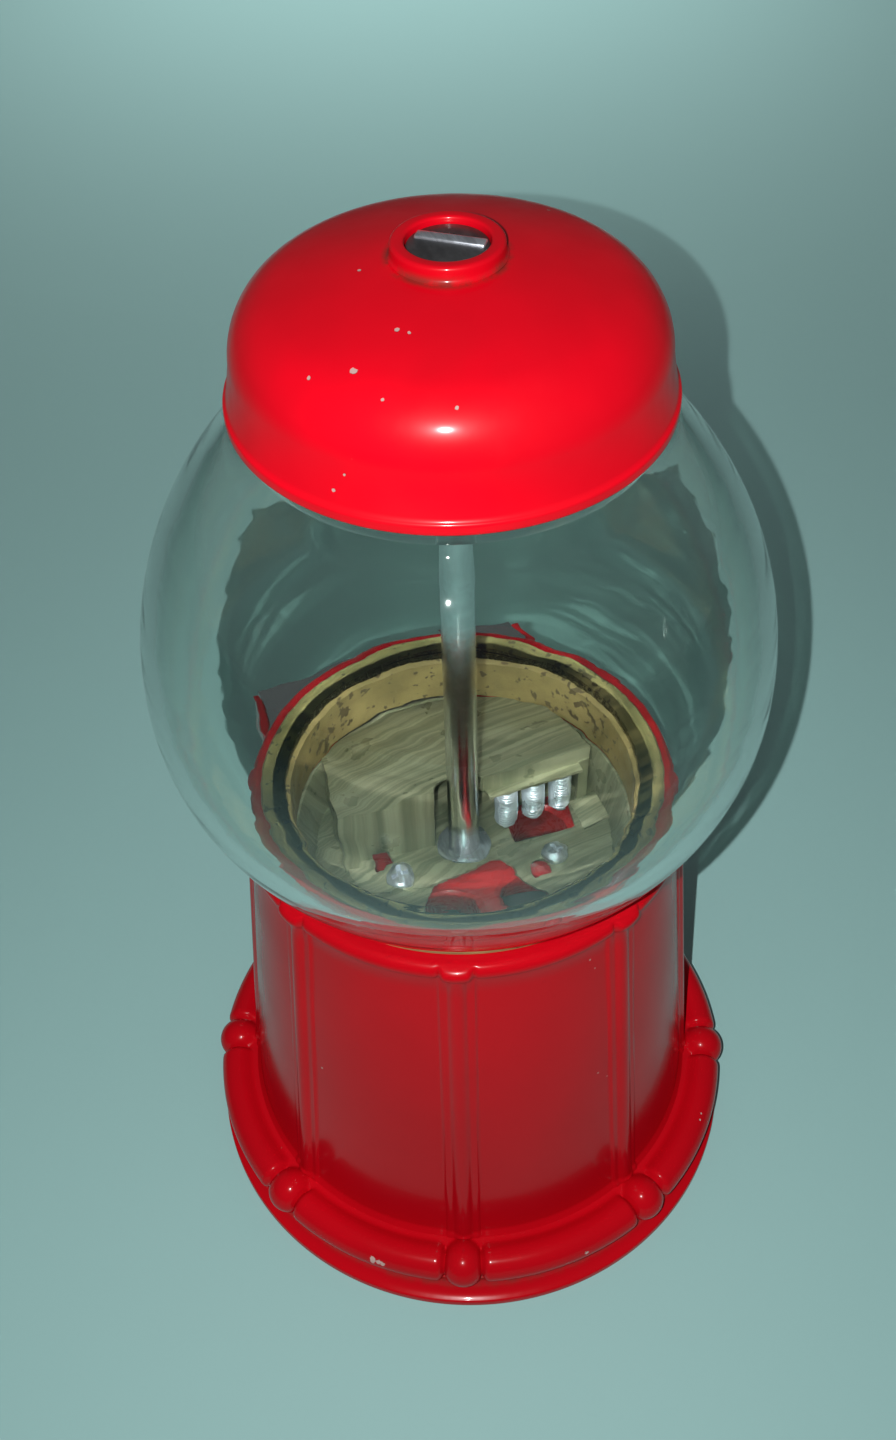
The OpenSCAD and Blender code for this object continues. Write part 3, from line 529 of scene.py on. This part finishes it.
FINISHES = {one.slot: one for one in (VINYL, *METALS, RED_PLASTIC, GREY_PLASTIC, BLACK_PLATE)}
# Nodes with a class of their own, though their slot is among the finishes.
SHAPED_NODES = ("wiper_springs", "globe_gasket", "lid_screw")


# ---------- shaping helpers ----------
class Outline:
    """A lathe outline in millimetres, as the radius and height of each point in turn."""

    def __init__(self, r: float, z: float) -> None:
        """Starts the outline at a point."""
        self.points: list[Point] = [(r, z)]

    def to(self, r: float, z: float, parts: int = 1) -> "Outline":
        """Goes straight to a point, in equal parts."""
        r0, z0 = self.points[-1]
        for i in range(1, parts + 1):
            self.points.append((r0 + (r - r0) * i / parts, z0 + (z - z0) * i / parts))
        return self

    def arc(self, centre: Point, radius: float, start: float, end: float, parts: int) -> "Outline":
        """Goes round a centre from one angle to another.

        Args:
            centre: Radius and height of the centre.
            radius: Radius of the arc.
            start: First angle in degrees, 0 pointing outwards and 90 upwards.
            end: Last angle in degrees.
            parts: Number of straight parts.

        Returns:
            The outline itself.
        """
        for i in range(parts + 1):
            angle = math.radians(start + (end - start) * i / parts)
            r = centre[0] + radius * math.cos(angle)
            self.points.append((r, centre[1] + radius * math.sin(angle)))
        return self


def everything(bm: Shape) -> list:
    """All the points, edges and faces of a shape."""
    return bm.verts[:] + bm.edges[:] + bm.faces[:]


def points_of(geom: Iterable) -> list[bmesh.types.BMVert]:
    """The points among some points, edges and faces."""
    return [part for part in geom if isinstance(part, bmesh.types.BMVert)]


def grow(bm: Shape, geom: list, move: Matrix) -> None:
    """Adds a moved copy of some points, edges and faces to a shape."""
    copy = bmesh.ops.duplicate(bm, geom=geom)["geom"]
    bmesh.ops.transform(bm, matrix=move, verts=points_of(copy))


def lathe(points: Sequence[Point], steps: int, closed: bool = True) -> Shape:
    """Spins an outline round the Z axis.

    Args:
        points: Radius and height of each point, in millimetres.
        steps: Number of steps in the full turn, a multiple of 8.
        closed: Whether the last point joins the first.

    Returns:
        The shape, with doubles merged and faces outwards.
    """
    bm = bmesh.new()
    verts = [bm.verts.new((r, 0.0, z)) for r, z in points]
    edges = [bm.edges.new(pair) for pair in zip(verts, verts[1:])]
    if closed:
        edges.append(bm.edges.new((verts[-1], verts[0])))
    bmesh.ops.spin(
        bm, geom=verts + edges, cent=(0, 0, 0), axis=(0, 0, 1), angle=math.tau / 8, steps=steps // 8,
        use_merge=False,
    )
    for turn in (math.tau / 8, math.tau / 4, math.tau / 2):
        grow(bm, everything(bm), Matrix.Rotation(turn, 4, "Z"))
    bmesh.ops.remove_doubles(bm, verts=bm.verts, dist=1e-3)
    bmesh.ops.recalc_face_normals(bm, faces=bm.faces)
    return bm


def swell(a: float, b: float, reach: float) -> float:
    """The larger of two values, with a soft fillet where they are less than reach apart."""
    near = max(reach - abs(a - b), 0.0) / reach
    return max(a, b) + near * near * reach / 4


def ease(t: float) -> float:
    """A smooth step from 0 to 1 as t goes from 0 to 1."""
    t = min(max(t, 0.0), 1.0)
    return t * t * (3 - 2 * t)


def soften(bm: Shape, edges: Iterable, width: float, segments: int, clamp: bool = False) -> None:
    """Rounds some edges of a shape, no wider than there is room for when clamped."""
    bmesh.ops.bevel(
        bm, geom=list(edges), offset=width, segments=segments, profile=0.5, affect="EDGES",
        clamp_overlap=clamp, material=-1,
    )


def join(bm: Shape, other: Shape) -> None:
    """Adds another shape to a shape, and frees the other."""
    mesh = bpy.data.meshes.new("joined")
    other.to_mesh(mesh)
    other.free()
    bm.from_mesh(mesh)
    bpy.data.meshes.remove(mesh)


def slot_of(node: Piece) -> str:
    """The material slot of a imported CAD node."""
    return node.data.materials[0].name.split(".")[0]


def link(name: str, data: bpy.types.ID) -> Piece:
    """Puts some data into the scene as a new object."""
    made = bpy.data.objects.new(name, data)
    bpy.context.scene.collection.objects.link(made)
    return made


def place(
    bm: Shape, name: str, finish: Finish, nodes: Sequence[str],
    unit: float = MM, sharp: float = 34.0,
) -> Piece:
    """Turns a shape into a finished piece that stands for CAD nodes of one body.

    Args:
        bm: The shape, in its own unit.
        name: The piece's name.
        finish: Its finish.
        nodes: The CAD nodes that it replaces.
        unit: Length of the shape's unit in metres.
        sharp: Edges with a bend over this many degrees stay crisp.

    Returns:
        The piece, riding on its body.
    """
    bmesh.ops.scale(bm, vec=(unit, unit, unit), verts=bm.verts)
    for face in bm.faces:
        face.smooth = True
    for edge in bm.edges:
        edge.smooth = edge.calc_face_angle(0.0) < math.radians(sharp)
    mesh = bpy.data.meshes.new(name)
    bm.to_mesh(mesh)
    bm.free()
    mesh.materials.append(finish.material())
    piece = link(name, mesh)
    bodies = frame["record"]["behaviour"]["bodies"]
    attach(piece, next(body for body, members in bodies.items() if nodes[0] in members))
    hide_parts(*nodes)
    log.info("%s: %d faces for %s", name, len(mesh.polygons), ", ".join(nodes))
    return piece


# ---------- body ----------
@dataclass
class BodyCasting:
    """The cast body: flared wall, reeded pilasters, base ring with knobs, rolled bead and coin frame."""

    bays: int = 8
    steps_per_bay: int = 72
    ring_r: float = 94.5
    ring_z: float = 20.0
    ring_low: float = 9.0
    ring_high: float = 33.0
    ring_in: float = 83.5
    tube: float = 6.75
    knob: float = 8.5
    knob_crown: float = 7.8
    knob_half: float = 6.3
    spine_r: float = 88.5
    spine_z: float = 19.0
    wall_low: Point = (84.5, 32.0)
    wall_top: Point = (72.4, 170.0)
    skin: float = 1.2
    reed_foot: float = 22.0
    bead: float = 3.5
    band_half: float = 6.0
    band_up: float = 0.8
    reed_up: float = 2.4
    reed_low: float = 4.4
    reed_top: float = 3.6
    fillet: float = 1.5
    segment_end: float = 3.4
    lobe_up: float = 1.5
    lobe_half: float = 5.4
    groove: float = 0.9
    pilasters: int = 6
    frame_half: float = 57.2
    pocket_half: float = 54.2
    frame_front: float = -87.0
    frame_deep: float = 36.0
    pocket_back: float = -66.0
    frame_z0: float = 27.8
    pocket_z0: float = 31.0
    frame_z1: float = 160.0

    def __post_init__(self) -> None:
        """Takes the foot's radius and the body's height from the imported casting."""
        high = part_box("body_casting")[1]
        self.foot = high[0] / MM
        self.top = high[2] / MM

    def outline(self) -> list[Point]:
        """The wall's section without its relief, as a closed outline."""
        foot, top = self.foot, self.top
        path = Outline(89.0, 0.0).to(foot - 0.76, 0.0, 2).arc((foot - 0.76, 0.7), 0.7, -90, 0, 4)
        path.arc((foot - 0.95, 2.7), 0.9, 0, 80, 4)
        path.arc((foot + 1.5, 10.5), 7.0, -108, -192, 12)
        path.arc((self.spine_r, self.spine_z), 5.2, -52, 66, 30)
        path.to(86.6, 24.4, 5).to(85.1, 27.0, 5).to(*self.wall_low, 6).to(*self.wall_top, 20)
        path.arc((self.wall_top[0], top - self.bead), self.bead, -72, 90, 16)
        path.to(64.0, top, 2).arc((63.6, top - 1.0), 1.0, 90, 180, 3)
        path.to(62.6, 167.0, 2).to(69.8, 163.0, 2).to(81.3, 32.0, 4).to(82.3, 24.0)
        path.to(82.3, 6.4, 2).to(89.0, 6.4)
        return path.points

    def warp(self, angle: float) -> float:
        """Gathers the columns towards the knobs, where the detail is."""
        bay = math.tau / self.bays
        base = (math.floor(angle / bay) + 0.5) * bay
        u = (angle - base) / (bay / 2)
        return base + (0.35 * u + 0.65 * u ** 3) * bay / 2

    def bulge(self, turn: float, radius: float) -> float:
        """How far the ring's round section lies from the spine, in a direction."""
        out, up = self.ring_r - self.spine_r, self.ring_z - self.spine_z
        along = out * math.cos(turn) + up * math.sin(turn)
        rest = along * along - out * out - up * up + radius * radius
        return along + math.sqrt(rest) if rest > 0 else 0.0

    def ring(self, side: float, turn: float) -> float:
        """Distance from the spine to the ring at an angle from the nearest knob.

        Args:
            side: Angle round the axis from the knob's middle, in radians.
            turn: Direction from the spine in the section, in radians.

        Returns:
            The distance in millimetres, 0 where there is only wall.
        """
        across = self.ring_r * math.sin(side)
        reach = 0.0
        if abs(across) < self.knob_half + 0.6:
            barrel = self.knob - self.knob_crown + math.sqrt(self.knob_crown ** 2 - across * across)
            ends = 1.0 - 0.2 * ease((abs(across) - self.knob_half + 0.7) / 1.2)
            reach = self.bulge(turn, barrel * ends)
        past = (abs(across) - self.knob_half - 0.3) / self.segment_end
        if past > 0:
            blunt = (1.0 - (1.0 - min(past, 1.0)) ** 3) ** 0.4
            segment = self.bulge(turn, self.tube * blunt)
            reach = swell(reach, segment, 0.35) if reach else segment
        return reach

    def relief(self, side: float, r: float, z: float) -> float:
        """Height of the pilaster over the wall at an angle from its middle."""
        across = abs(r * math.sin(side))
        if across > self.band_half + 1.5:
            return 0.0
        run = (z - self.wall_low[1]) / (self.wall_top[1] - self.wall_low[1])
        reed = self.reed_low + (self.reed_top - self.reed_low) * min(max(run, 0.0), 1.0)
        band = self.band_up * ease((self.band_half + 0.5 - across) / 1.1)
        round_part = self.reed_up - reed + math.sqrt(max(reed * reed - across * across, 0.0))
        return swell(band, round_part, 0.5)

    def lobe(self, side: float, r: float) -> float:
        """Height of the small lobe on the bead over a pilaster, with a groove on each side."""
        across = abs(r * math.sin(side))
        round_part = self.lobe_up * math.sqrt(max(1.0 - (across / self.lobe_half) ** 2, 0.0))
        groove = self.groove * math.exp(-((across - self.lobe_half) / self.groove) ** 2)
        return round_part - groove

    def outside(self, r: float, z: float) -> bool:
        """Whether a point lies on the wall's outer skin, or beyond it."""
        (low_r, low_z), (top_r, top_z) = self.wall_low, self.wall_top
        return r > top_r + (low_r - top_r) * (top_z - z) / (top_z - low_z) - self.skin

    def sculpt(self, bm: Shape) -> None:
        """Moves the lathed wall's points out to the pilasters, ring, knobs and beads."""
        bay = math.tau / self.bays
        top_of_wall = self.top - 0.6
        for vert in bm.verts:
            r, z = math.hypot(vert.co.x, vert.co.y), vert.co.z
            angle = self.warp(math.atan2(vert.co.y, vert.co.x) % math.tau)
            index = math.floor((angle + bay) / bay) % self.bays
            side = angle - (math.floor(angle / bay) + 0.5) * bay
            outside = self.outside(r, z)
            if outside and self.reed_foot < z < top_of_wall and index < self.pilasters:
                lift = self.relief(side, r, z) * ease((z - self.reed_foot) / 4.0)
                near_top = ease((z - self.top + 2.6 * self.bead) / self.bead)
                lift += (self.lobe(side, r) - lift) * near_top
                r += lift * (1.0 - ease((z - self.top + 0.8 * self.bead) / self.bead))
            turn = math.atan2(z - self.spine_z, r - self.spine_r)
            far = math.hypot(r - self.spine_r, z - self.spine_z)
            if outside and r > self.ring_in and self.ring_low < z < self.ring_high:
                shaped = self.ring(side, turn)
                far = swell(far, shaped, self.fillet) if shaped > 0 else far
                r, z = self.spine_r + far * math.cos(turn), self.spine_z + far * math.sin(turn)
            vert.co = (r * math.cos(angle), r * math.sin(angle), z)

    def cut_window(self, bm: Shape) -> None:
        """Opens the wall behind the coin frame and closes the cut between its two skins."""
        limits = (((0, self.pocket_back, 0), (0, 1, 0)), ((0, 0, self.pocket_z0), (0, 0, 1)),
                  ((0, 0, self.frame_z1), (0, 0, 1)))
        for co, no in limits:
            front = [f for f in bm.faces if f.calc_center_median().y < -50]
            geom = set(front) | {e for f in front for e in f.edges} | {v for f in front for v in f.verts}
            bmesh.ops.bisect_plane(bm, geom=list(geom), plane_co=co, plane_no=no, dist=1e-4)
        inside = [
            f for f in bm.faces
            if f.calc_center_median().y < self.pocket_back
            and self.pocket_z0 < f.calc_center_median().z < self.frame_z1
        ]
        bmesh.ops.delete(bm, geom=inside, context="FACES")
        open_edges = [e for e in bm.edges if e.is_boundary]
        bmesh.ops.bridge_loops(bm, edges=open_edges)

    def coin_frame(self) -> Shape:
        """The square frame round the coin housing: two cheeks and a sill, open at the top."""
        bm = bmesh.new()
        half, inner = self.frame_half, self.pocket_half
        corners = ((-half, self.frame_z0), (half, self.frame_z0), (half, self.frame_z1),
                   (inner, self.frame_z1), (inner, self.pocket_z0), (-inner, self.pocket_z0),
                   (-inner, self.frame_z1), (-half, self.frame_z1))
        face = bm.faces.new([bm.verts.new((x, self.frame_front, z)) for x, z in corners])
        grown = bmesh.ops.extrude_face_region(bm, geom=[face], use_keep_orig=True)
        bmesh.ops.translate(bm, vec=(0, self.frame_deep, 0), verts=points_of(grown["geom"]))
        bmesh.ops.recalc_face_normals(bm, faces=bm.faces)
        soften(bm, bm.edges, 0.7, 3)
        return bm

    def build(self) -> None:
        """Makes the casting in one piece."""
        bm = lathe(self.outline(), self.bays * self.steps_per_bay)
        self.sculpt(bm)
        self.cut_window(bm)
        bmesh.ops.recalc_face_normals(bm, faces=bm.faces)
        join(bm, self.coin_frame())
        place(bm, "cast_body", BODY_PAINT, ["body_casting"])


# ---------- globe and lid ----------
@dataclass
class Globe:
    """The pressed glass globe with its wavy inner face, and the gasket it stands on."""

    steps: int = 256
    glass: float = 4.6
    neck: float = 60.0
    wide_z: float = 243.0
    low_centre: float = 15.0
    high_centre: float = -20.0
    neck_top: float = 56.4
    wave: float = 0.045
    ripple_low: float = 8.0
    ripple_high: float = 322.0
    skirt: float = 19.0

    def __post_init__(self) -> None:
        """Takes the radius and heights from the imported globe."""
        low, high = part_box("globe")
        self.radius = high[0] / MM
        self.foot, self.top = low[2] / MM, high[2] / MM

    def outline(self) -> list[Point]:
        """The glass section: outer face up to the neck, then the inner face down."""
        wide, foot, top = self.wide_z, self.foot, self.top
        low_r, high_r = self.radius - self.low_centre, self.radius - self.high_centre
        bore = self.neck_top - 6.0
        path = Outline(self.neck + 1.0, foot).to(65.6, foot, 3)
        path.arc((65.6, foot + 1.4), 1.4, -80, -40, 3)
        path.arc((self.low_centre, wide), low_r, -48.2, 0, 26)
        path.arc((self.high_centre, wide), high_r, 1.5, 48.4, 34)
        path.to(self.neck_top, 332.4, 2).to(self.neck_top, top - 1.0, 2)
        path.arc((self.neck_top - 1.0, top - 1.0), 1.0, 0, 90, 3)
        path.arc((bore + 1.0, top - 1.0), 1.0, 90, 180, 3).to(bore, 332.0, 2)
        path.to(52.6, 327.0, 3)
        path.arc((self.high_centre, wide), high_r - self.glass, 44.5, 1.0, 62)
        path.arc((self.low_centre, wide), low_r - self.glass, 0, -45.5, 48)
        path.to(64.0, foot + 4.6, 4).arc((61.0, foot + 3.4), 1.0, 100, 180, 4)
        path.arc((61.0, foot + 1.0), 1.0, 180, 260, 3)
        return path.points

    def ripple(self, bm: Shape) -> None:
        """Shakes the inner face into the long flat waves of pressed glass."""
        for vert in bm.verts:
            co = vert.co
            r = math.hypot(co.x, co.y)
            shift = self.low_centre if co.z < self.wide_z else self.high_centre
            depth = self.radius - shift - math.hypot(r - shift, co.z - self.wide_z)
            from_low, from_high = co.z - self.foot - self.ripple_low, self.ripple_high - co.z
            if depth < self.glass * 0.6 or from_low < 0 or from_high < 0:
                continue
            fade = ease(from_low / 10) * ease(from_high / 8)
            long_wave = noise.noise(Vector((co.x * 0.02, co.y * 0.02, co.z * 0.12)))
            fine_wave = noise.noise(Vector((co.x * 0.05 + 9, co.y * 0.05, co.z * 0.35)))
            push = self.wave * fade * (long_wave + 0.45 * fine_wave)
            out = Vector((co.x / r, co.y / r, 0.0)) * (r - shift) + Vector((0, 0, co.z - self.wide_z))
            vert.co = co + out.normalized() * push

    def gasket(self) -> list[Point]:
        """The gasket's section: flat flange under the glass and a skirt down into the body."""
        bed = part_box("body_casting")[1][2] / MM
        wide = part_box("globe_gasket")[1][0] / MM
        low = self.foot - self.skirt
        path = Outline(58.8, low).to(61.4, low).to(61.5, bed - 0.4, 6).to(61.8, bed + 0.1)
        path.to(wide - 0.5, bed + 0.1, 3).arc((wide - 1.3, bed + 1.3), 1.25, -70, 70, 6)
        path.to(wide - 1.6, self.foot, 1).to(60.0, self.foot, 3).to(58.8, self.foot - 0.8)
        return path.points

    def build(self) -> None:
        """Makes the globe and its gasket."""
        bm = lathe(self.outline(), self.steps)
        self.ripple(bm)
        place(bm, "pressed_globe", PRESSED_GLASS, ["globe"])
        place(lathe(self.gasket(), 192), "globe_seat", VINYL, ["globe_gasket"])


@dataclass
class Lid:
    """The domed lid with its rolled lip and collar, and the lock screw with its bar."""

    steps: int = 256
    wall: float = 2.4
    shoulder: float = 20.0
    shoulder_in: float = 21.6
    shoulder_up: float = 14.9
    collar_up: float = 3.6
    lip: float = 1.2
    bore: float = 10.8
    collar: float = 14.5
    lock_bore: float = 6.2
    ledge: float = 366.4
    ledge_t: float = 2.4
    seat: float = 339.6
    seat_t: float = 2.4
    seat_in: float = 51.4
    lock_down: float = 1.7
    bar_turn: float = 142.0
    bar_off: float = 2.4
    bar_wide: float = 3.5
    bar_tall: float = 1.4

    def __post_init__(self) -> None:
        """Takes the lid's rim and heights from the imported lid."""
        low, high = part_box("lid")
        self.rim = high[0] / MM
        self.low, self.high = low[2] / MM, high[2] / MM

    def skin(self, inset: float, parts: int) -> list[Point]:
        """The dome's outer line, or the inner one when inset by the wall, from the rim to the collar."""
        side_r = self.rim - self.lip
        mid_r, mid_z = side_r - self.shoulder_in, self.low + self.shoulder_up
        rise = self.high - self.collar_up - mid_z
        cap = (mid_r ** 2 + rise ** 2 - self.shoulder ** 2) / (2 * (rise - self.shoulder))
        cap_z = self.high - self.collar_up - cap
        meet = math.degrees(math.atan2(mid_z - cap_z, mid_r))
        path = Outline(side_r - inset, self.low + 5.0)
        path.arc((mid_r, mid_z), self.shoulder - inset, 0, meet, parts)
        inner_edge = math.degrees(math.acos((self.collar + 0.6) / (cap - inset)))
        path.arc((0.0, cap_z), cap - inset, meet + 0.8, inner_edge, parts)
        return path.points

    def outline(self) -> list[Point]:
        """The whole section of the lid, closed."""
        low, high, rim = self.low, self.high, self.rim
        inside = rim - self.lip - self.wall
        under, over = self.ledge - self.ledge_t, self.seat + self.seat_t
        outer = self.skin(0.0, 16)
        inner = self.skin(self.wall, 10)
        path = Outline(inside, low + 0.6).to(inside + 0.6, low)
        path.to(rim - 1.2, low, 2).arc((rim - 1.2, low + 1.2), 1.2, -80, 0, 4).to(rim, low + 2.6, 2)
        path.arc((rim - 1.1, low + 2.9), 1.1, 0, 70, 4)
        path.points += outer
        path.arc((self.collar + 1.6, high - self.collar_up + 0.9), 1.6, 235, 182, 4)
        path.to(self.collar, high - 1.1, 2)
        path.arc((self.collar - 1.1, high - 1.1), 1.1, 0, 90, 5)
        path.arc((self.bore + 0.9, high - 0.9), 0.9, 90, 180, 4).to(self.bore, self.ledge, 4)
        path.to(self.lock_bore, self.ledge, 2).to(self.lock_bore, under).to(self.collar, under, 2)
        path.points += inner[::-1][1:]
        path.to(inside, over).to(self.seat_in, over, 2).to(self.seat_in, self.seat)
        path.to(inside, self.seat, 2)
        return path.points

    def lock(self) -> None:
        """The lock screw: a dull disc in the collar's bore, with a bright bar let into it."""
        top = self.high - self.lock_down
        edge = self.bore - 0.3
        path = Outline(0.0, self.ledge + 1).to(edge - 0.4, self.ledge).to(edge, self.ledge + 0.4)
        path.to(edge, top - 0.4, 2).arc((edge - 0.5, top - 0.5), 0.5, 0, 90, 3).to(0.0, top, 5)
        place(lathe(path.points, 64, closed=False), "lock_screw", DARK_STEEL, ["lid_screw"])
        bar = bmesh.new()
        bmesh.ops.create_cube(bar, size=1.0)
        bmesh.ops.scale(bar, vec=(2 * edge - 2.6, self.bar_wide, self.bar_tall), verts=bar.verts)
        soften(bar, bar.edges, 0.5, 3)
        turned = Matrix.Translation((0, 0, top)) @ Matrix.Rotation(math.radians(self.bar_turn), 4, "Z")
        turned @= Matrix.Translation((0, self.bar_off, 0))
        bmesh.ops.transform(bar, matrix=turned, verts=bar.verts)
        place(bar, "lock_bar", ZINC, ["lid_screw"])

    def build(self) -> None:
        """Makes the lid and the lock screw."""
        place(lathe(self.outline(), self.steps), "domed_lid", LIT_LID_PAINT, ["lid"], sharp=50.0)
        self.lock()


# ---------- hopper ----------
@dataclass
class WiperSprings:
    """Three close-wound springs that hang from the hood over the wheel."""

    centres: tuple[Point, ...] = ((-18.0, -4.6), (-28.5, -4.6), (-39.0, -4.6))
    coil: float = 3.75
    wire: float = 0.5
    pitch: float = 1.04
    steps_per_turn: int = 28

    def build(self) -> None:
        """Winds each spring from a small ring of wire."""
        low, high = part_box("wiper_springs")
        foot, top = low[2] / MM + self.wire, high[2] / MM - self.wire
        bm = bmesh.new()
        section = bmesh.ops.create_circle(bm, cap_ends=False, radius=self.wire, segments=8)["verts"]
        tilt = Matrix.Translation((self.coil, 0, foot)) @ Matrix.Rotation(math.pi / 2, 4, "X")
        bmesh.ops.transform(bm, matrix=tilt, verts=section)
        edges = list({e for v in section for e in v.link_edges})
        bmesh.ops.spin(
            bm, geom=section + edges, cent=(0, 0, 0), axis=(0, 0, 1), angle=math.tau, use_merge=False,
            steps=self.steps_per_turn, dvec=(0, 0, self.pitch / self.steps_per_turn),
        )
        one_turn = everything(bm)
        for turn in range(1, int((top - foot) / self.pitch)):
            grow(bm, one_turn, Matrix.Translation((0, 0, turn * self.pitch)))
        bmesh.ops.remove_doubles(bm, verts=bm.verts, dist=1e-3)
        bmesh.ops.holes_fill(bm, edges=[e for e in bm.edges if e.is_boundary], sides=8)
        bmesh.ops.recalc_face_normals(bm, faces=bm.faces)
        first = everything(bm)
        for centre in self.centres[1:]:
            grow(bm, first, Matrix.Translation((*centre, 0)))
        bmesh.ops.translate(bm, vec=(*self.centres[0], 0), verts=points_of(first))
        place(bm, "wound_springs", SPRING_WIRE, ["wiper_springs"], sharp=80.0)


@dataclass
class SoftenedNode:
    """A rigid CAD piece with its edges eased, for pieces whose shape is already right."""

    node: str
    edge: float = 0.25
    segments: int = 2
    bend: float = 32.0

    def build(self) -> None:
        """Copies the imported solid, merges its triangles and rounds its sharp edges."""
        source = frame["nodes"][self.node]
        bm = bmesh.new()
        bm.from_mesh(source.data)
        bmesh.ops.remove_doubles(bm, verts=bm.verts, dist=2e-6)
        bmesh.ops.dissolve_limit(bm, angle_limit=math.radians(0.6), verts=bm.verts, edges=bm.edges)
        bend = math.radians(self.bend)
        crisp = [e for e in bm.edges if len(e.link_faces) == 2 and e.calc_face_angle(0.0) > bend]
        soften(bm, crisp, self.edge * MM, self.segments, clamp=True)
        place(bm, "dressed_" + self.node, FINISHES[slot_of(source)], [self.node], unit=1.0)


# ---------- stage ----------
@dataclass
class Stage:
    """The camera, the pale floor and the soft lights."""

    camera_at: Place = (0.11708, 0.32659, 0.56723)
    azimuth: float = 160.2775
    pan: float = -0.0119
    pitch: float = 0.7993
    roll: float = -0.0358
    lens: float = 38.503
    long_side: float = 36.0
    floor_size: float = 6.0
    floor_tone: Colour = (0.3, 0.52, 0.5, 1.0)
    sky_tone: Colour = (0.86, 0.9, 0.92, 1.0)
    sky_strength: float = 0.09
    key_left: float = 0.022
    key_size: float = 0.003
    key_power: float = 5.4
    key_aim: Place = (0.0, 0.0, 0.15)
    key_spread: float = 180.0
    far_at: Place = (-0.55, -1.65, 1.3)
    far_aim: Place = (-0.42, -1.3, 0.0)
    far_size: float = 0.8
    far_power: float = 2.3
    far_spread: float = 64.0

    def camera(self) -> Vector:
        """Sets the camera at its height and slant behind the machine.

        Returns:
            The key light's place, just left of the camera.
        """
        pan, pitch = self.pan, self.pitch
        level = math.cos(pitch)
        ahead = Vector((math.sin(pan) * level, math.cos(pan) * level, -math.sin(pitch)))
        right = ahead.cross(Vector((0, 0, 1))).normalized()
        up = right.cross(ahead)
        side = math.cos(self.roll) * right + math.sin(self.roll) * up
        over = -math.sin(self.roll) * right + math.cos(self.roll) * up
        turn = Matrix.Rotation(math.radians(self.azimuth), 3, "Z")
        axes = [turn @ axis for axis in (side, over, -ahead)]
        data = bpy.data.cameras.new("camera")
        data.lens = self.lens
        data.sensor_width = self.long_side
        data.clip_start, data.clip_end = 0.01, 20.0
        made = link("camera", data)
        made.matrix_world = Matrix.Translation(self.camera_at) @ Matrix(axes).transposed().to_4x4()
        bpy.context.scene.camera = made
        return Vector(self.camera_at) - self.key_left * axes[0]

    def light(
        self, name: str, at: Place, aim: Place, size: float, power: float, spread: float
    ) -> None:
        """Adds one soft area light whose strength falls only with the distance.

        Args:
            name: The light's name.
            at: Its place in metres.
            aim: The point it faces.
            size: Its width in metres.
            power: Its power in watts.
            spread: How wide its beam opens, in degrees.
        """
        data = bpy.data.lights.new(name, "AREA")
        data.shape = "DISK"
        data.size, data.energy, data.spread = size, power, math.radians(spread)
        data.use_nodes = True
        tree = data.node_tree
        softer = Shader(tree).node("ShaderNodeLightFalloff", {"Strength": 1.0}).outputs["Linear"]
        tree.links.new(softer, tree.nodes["Emission"].inputs["Strength"])
        facing = (Vector(aim) - Vector(at)).to_track_quat("-Z", "Y").to_matrix().to_4x4()
        link(name, data).matrix_world = Matrix.Translation(at) @ facing

    def floor(self) -> None:
        """Lays the plain pale floor."""
        bm = bmesh.new()
        bmesh.ops.create_grid(bm, x_segments=1, y_segments=1, size=self.floor_size / 2)
        mesh = bpy.data.meshes.new("floor")
        bm.to_mesh(mesh)
        bm.free()
        material = bpy.data.materials.new("floor_paper")
        material.use_nodes = True
        paper = material.node_tree.nodes["Principled BSDF"]
        feed(Shader(material.node_tree), paper, Base_Color=self.floor_tone, Roughness=0.85)
        mesh.materials.append(material)
        link("floor", mesh)

    def build(self) -> None:
        """Sets the whole stage."""
        key_at = self.camera()
        self.floor()
        world = bpy.data.worlds.new("soft_room")
        world.use_nodes = True
        sky = world.node_tree.nodes["Background"]
        feed(Shader(world.node_tree), sky, Color=self.sky_tone, Strength=self.sky_strength)
        bpy.context.scene.world = world
        self.light("key", key_at, self.key_aim, self.key_size, self.key_power, self.key_spread)
        self.light("far", self.far_at, self.far_aim, self.far_size, self.far_power, self.far_spread)
        bpy.context.scene.view_settings.view_transform = "Standard"


def main() -> None:
    """Builds the stage, then each sub-assembly in turn."""
    Stage().build()
    BodyCasting().build()
    Globe().build()
    Lid().build()
    WiperSprings().build()
    for name, node in frame["nodes"].items():
        if slot_of(node) in FINISHES and name not in SHAPED_NODES:
            SoftenedNode(name).build()
    log.info("all pieces built")


if __name__ == "__main__":
    main()
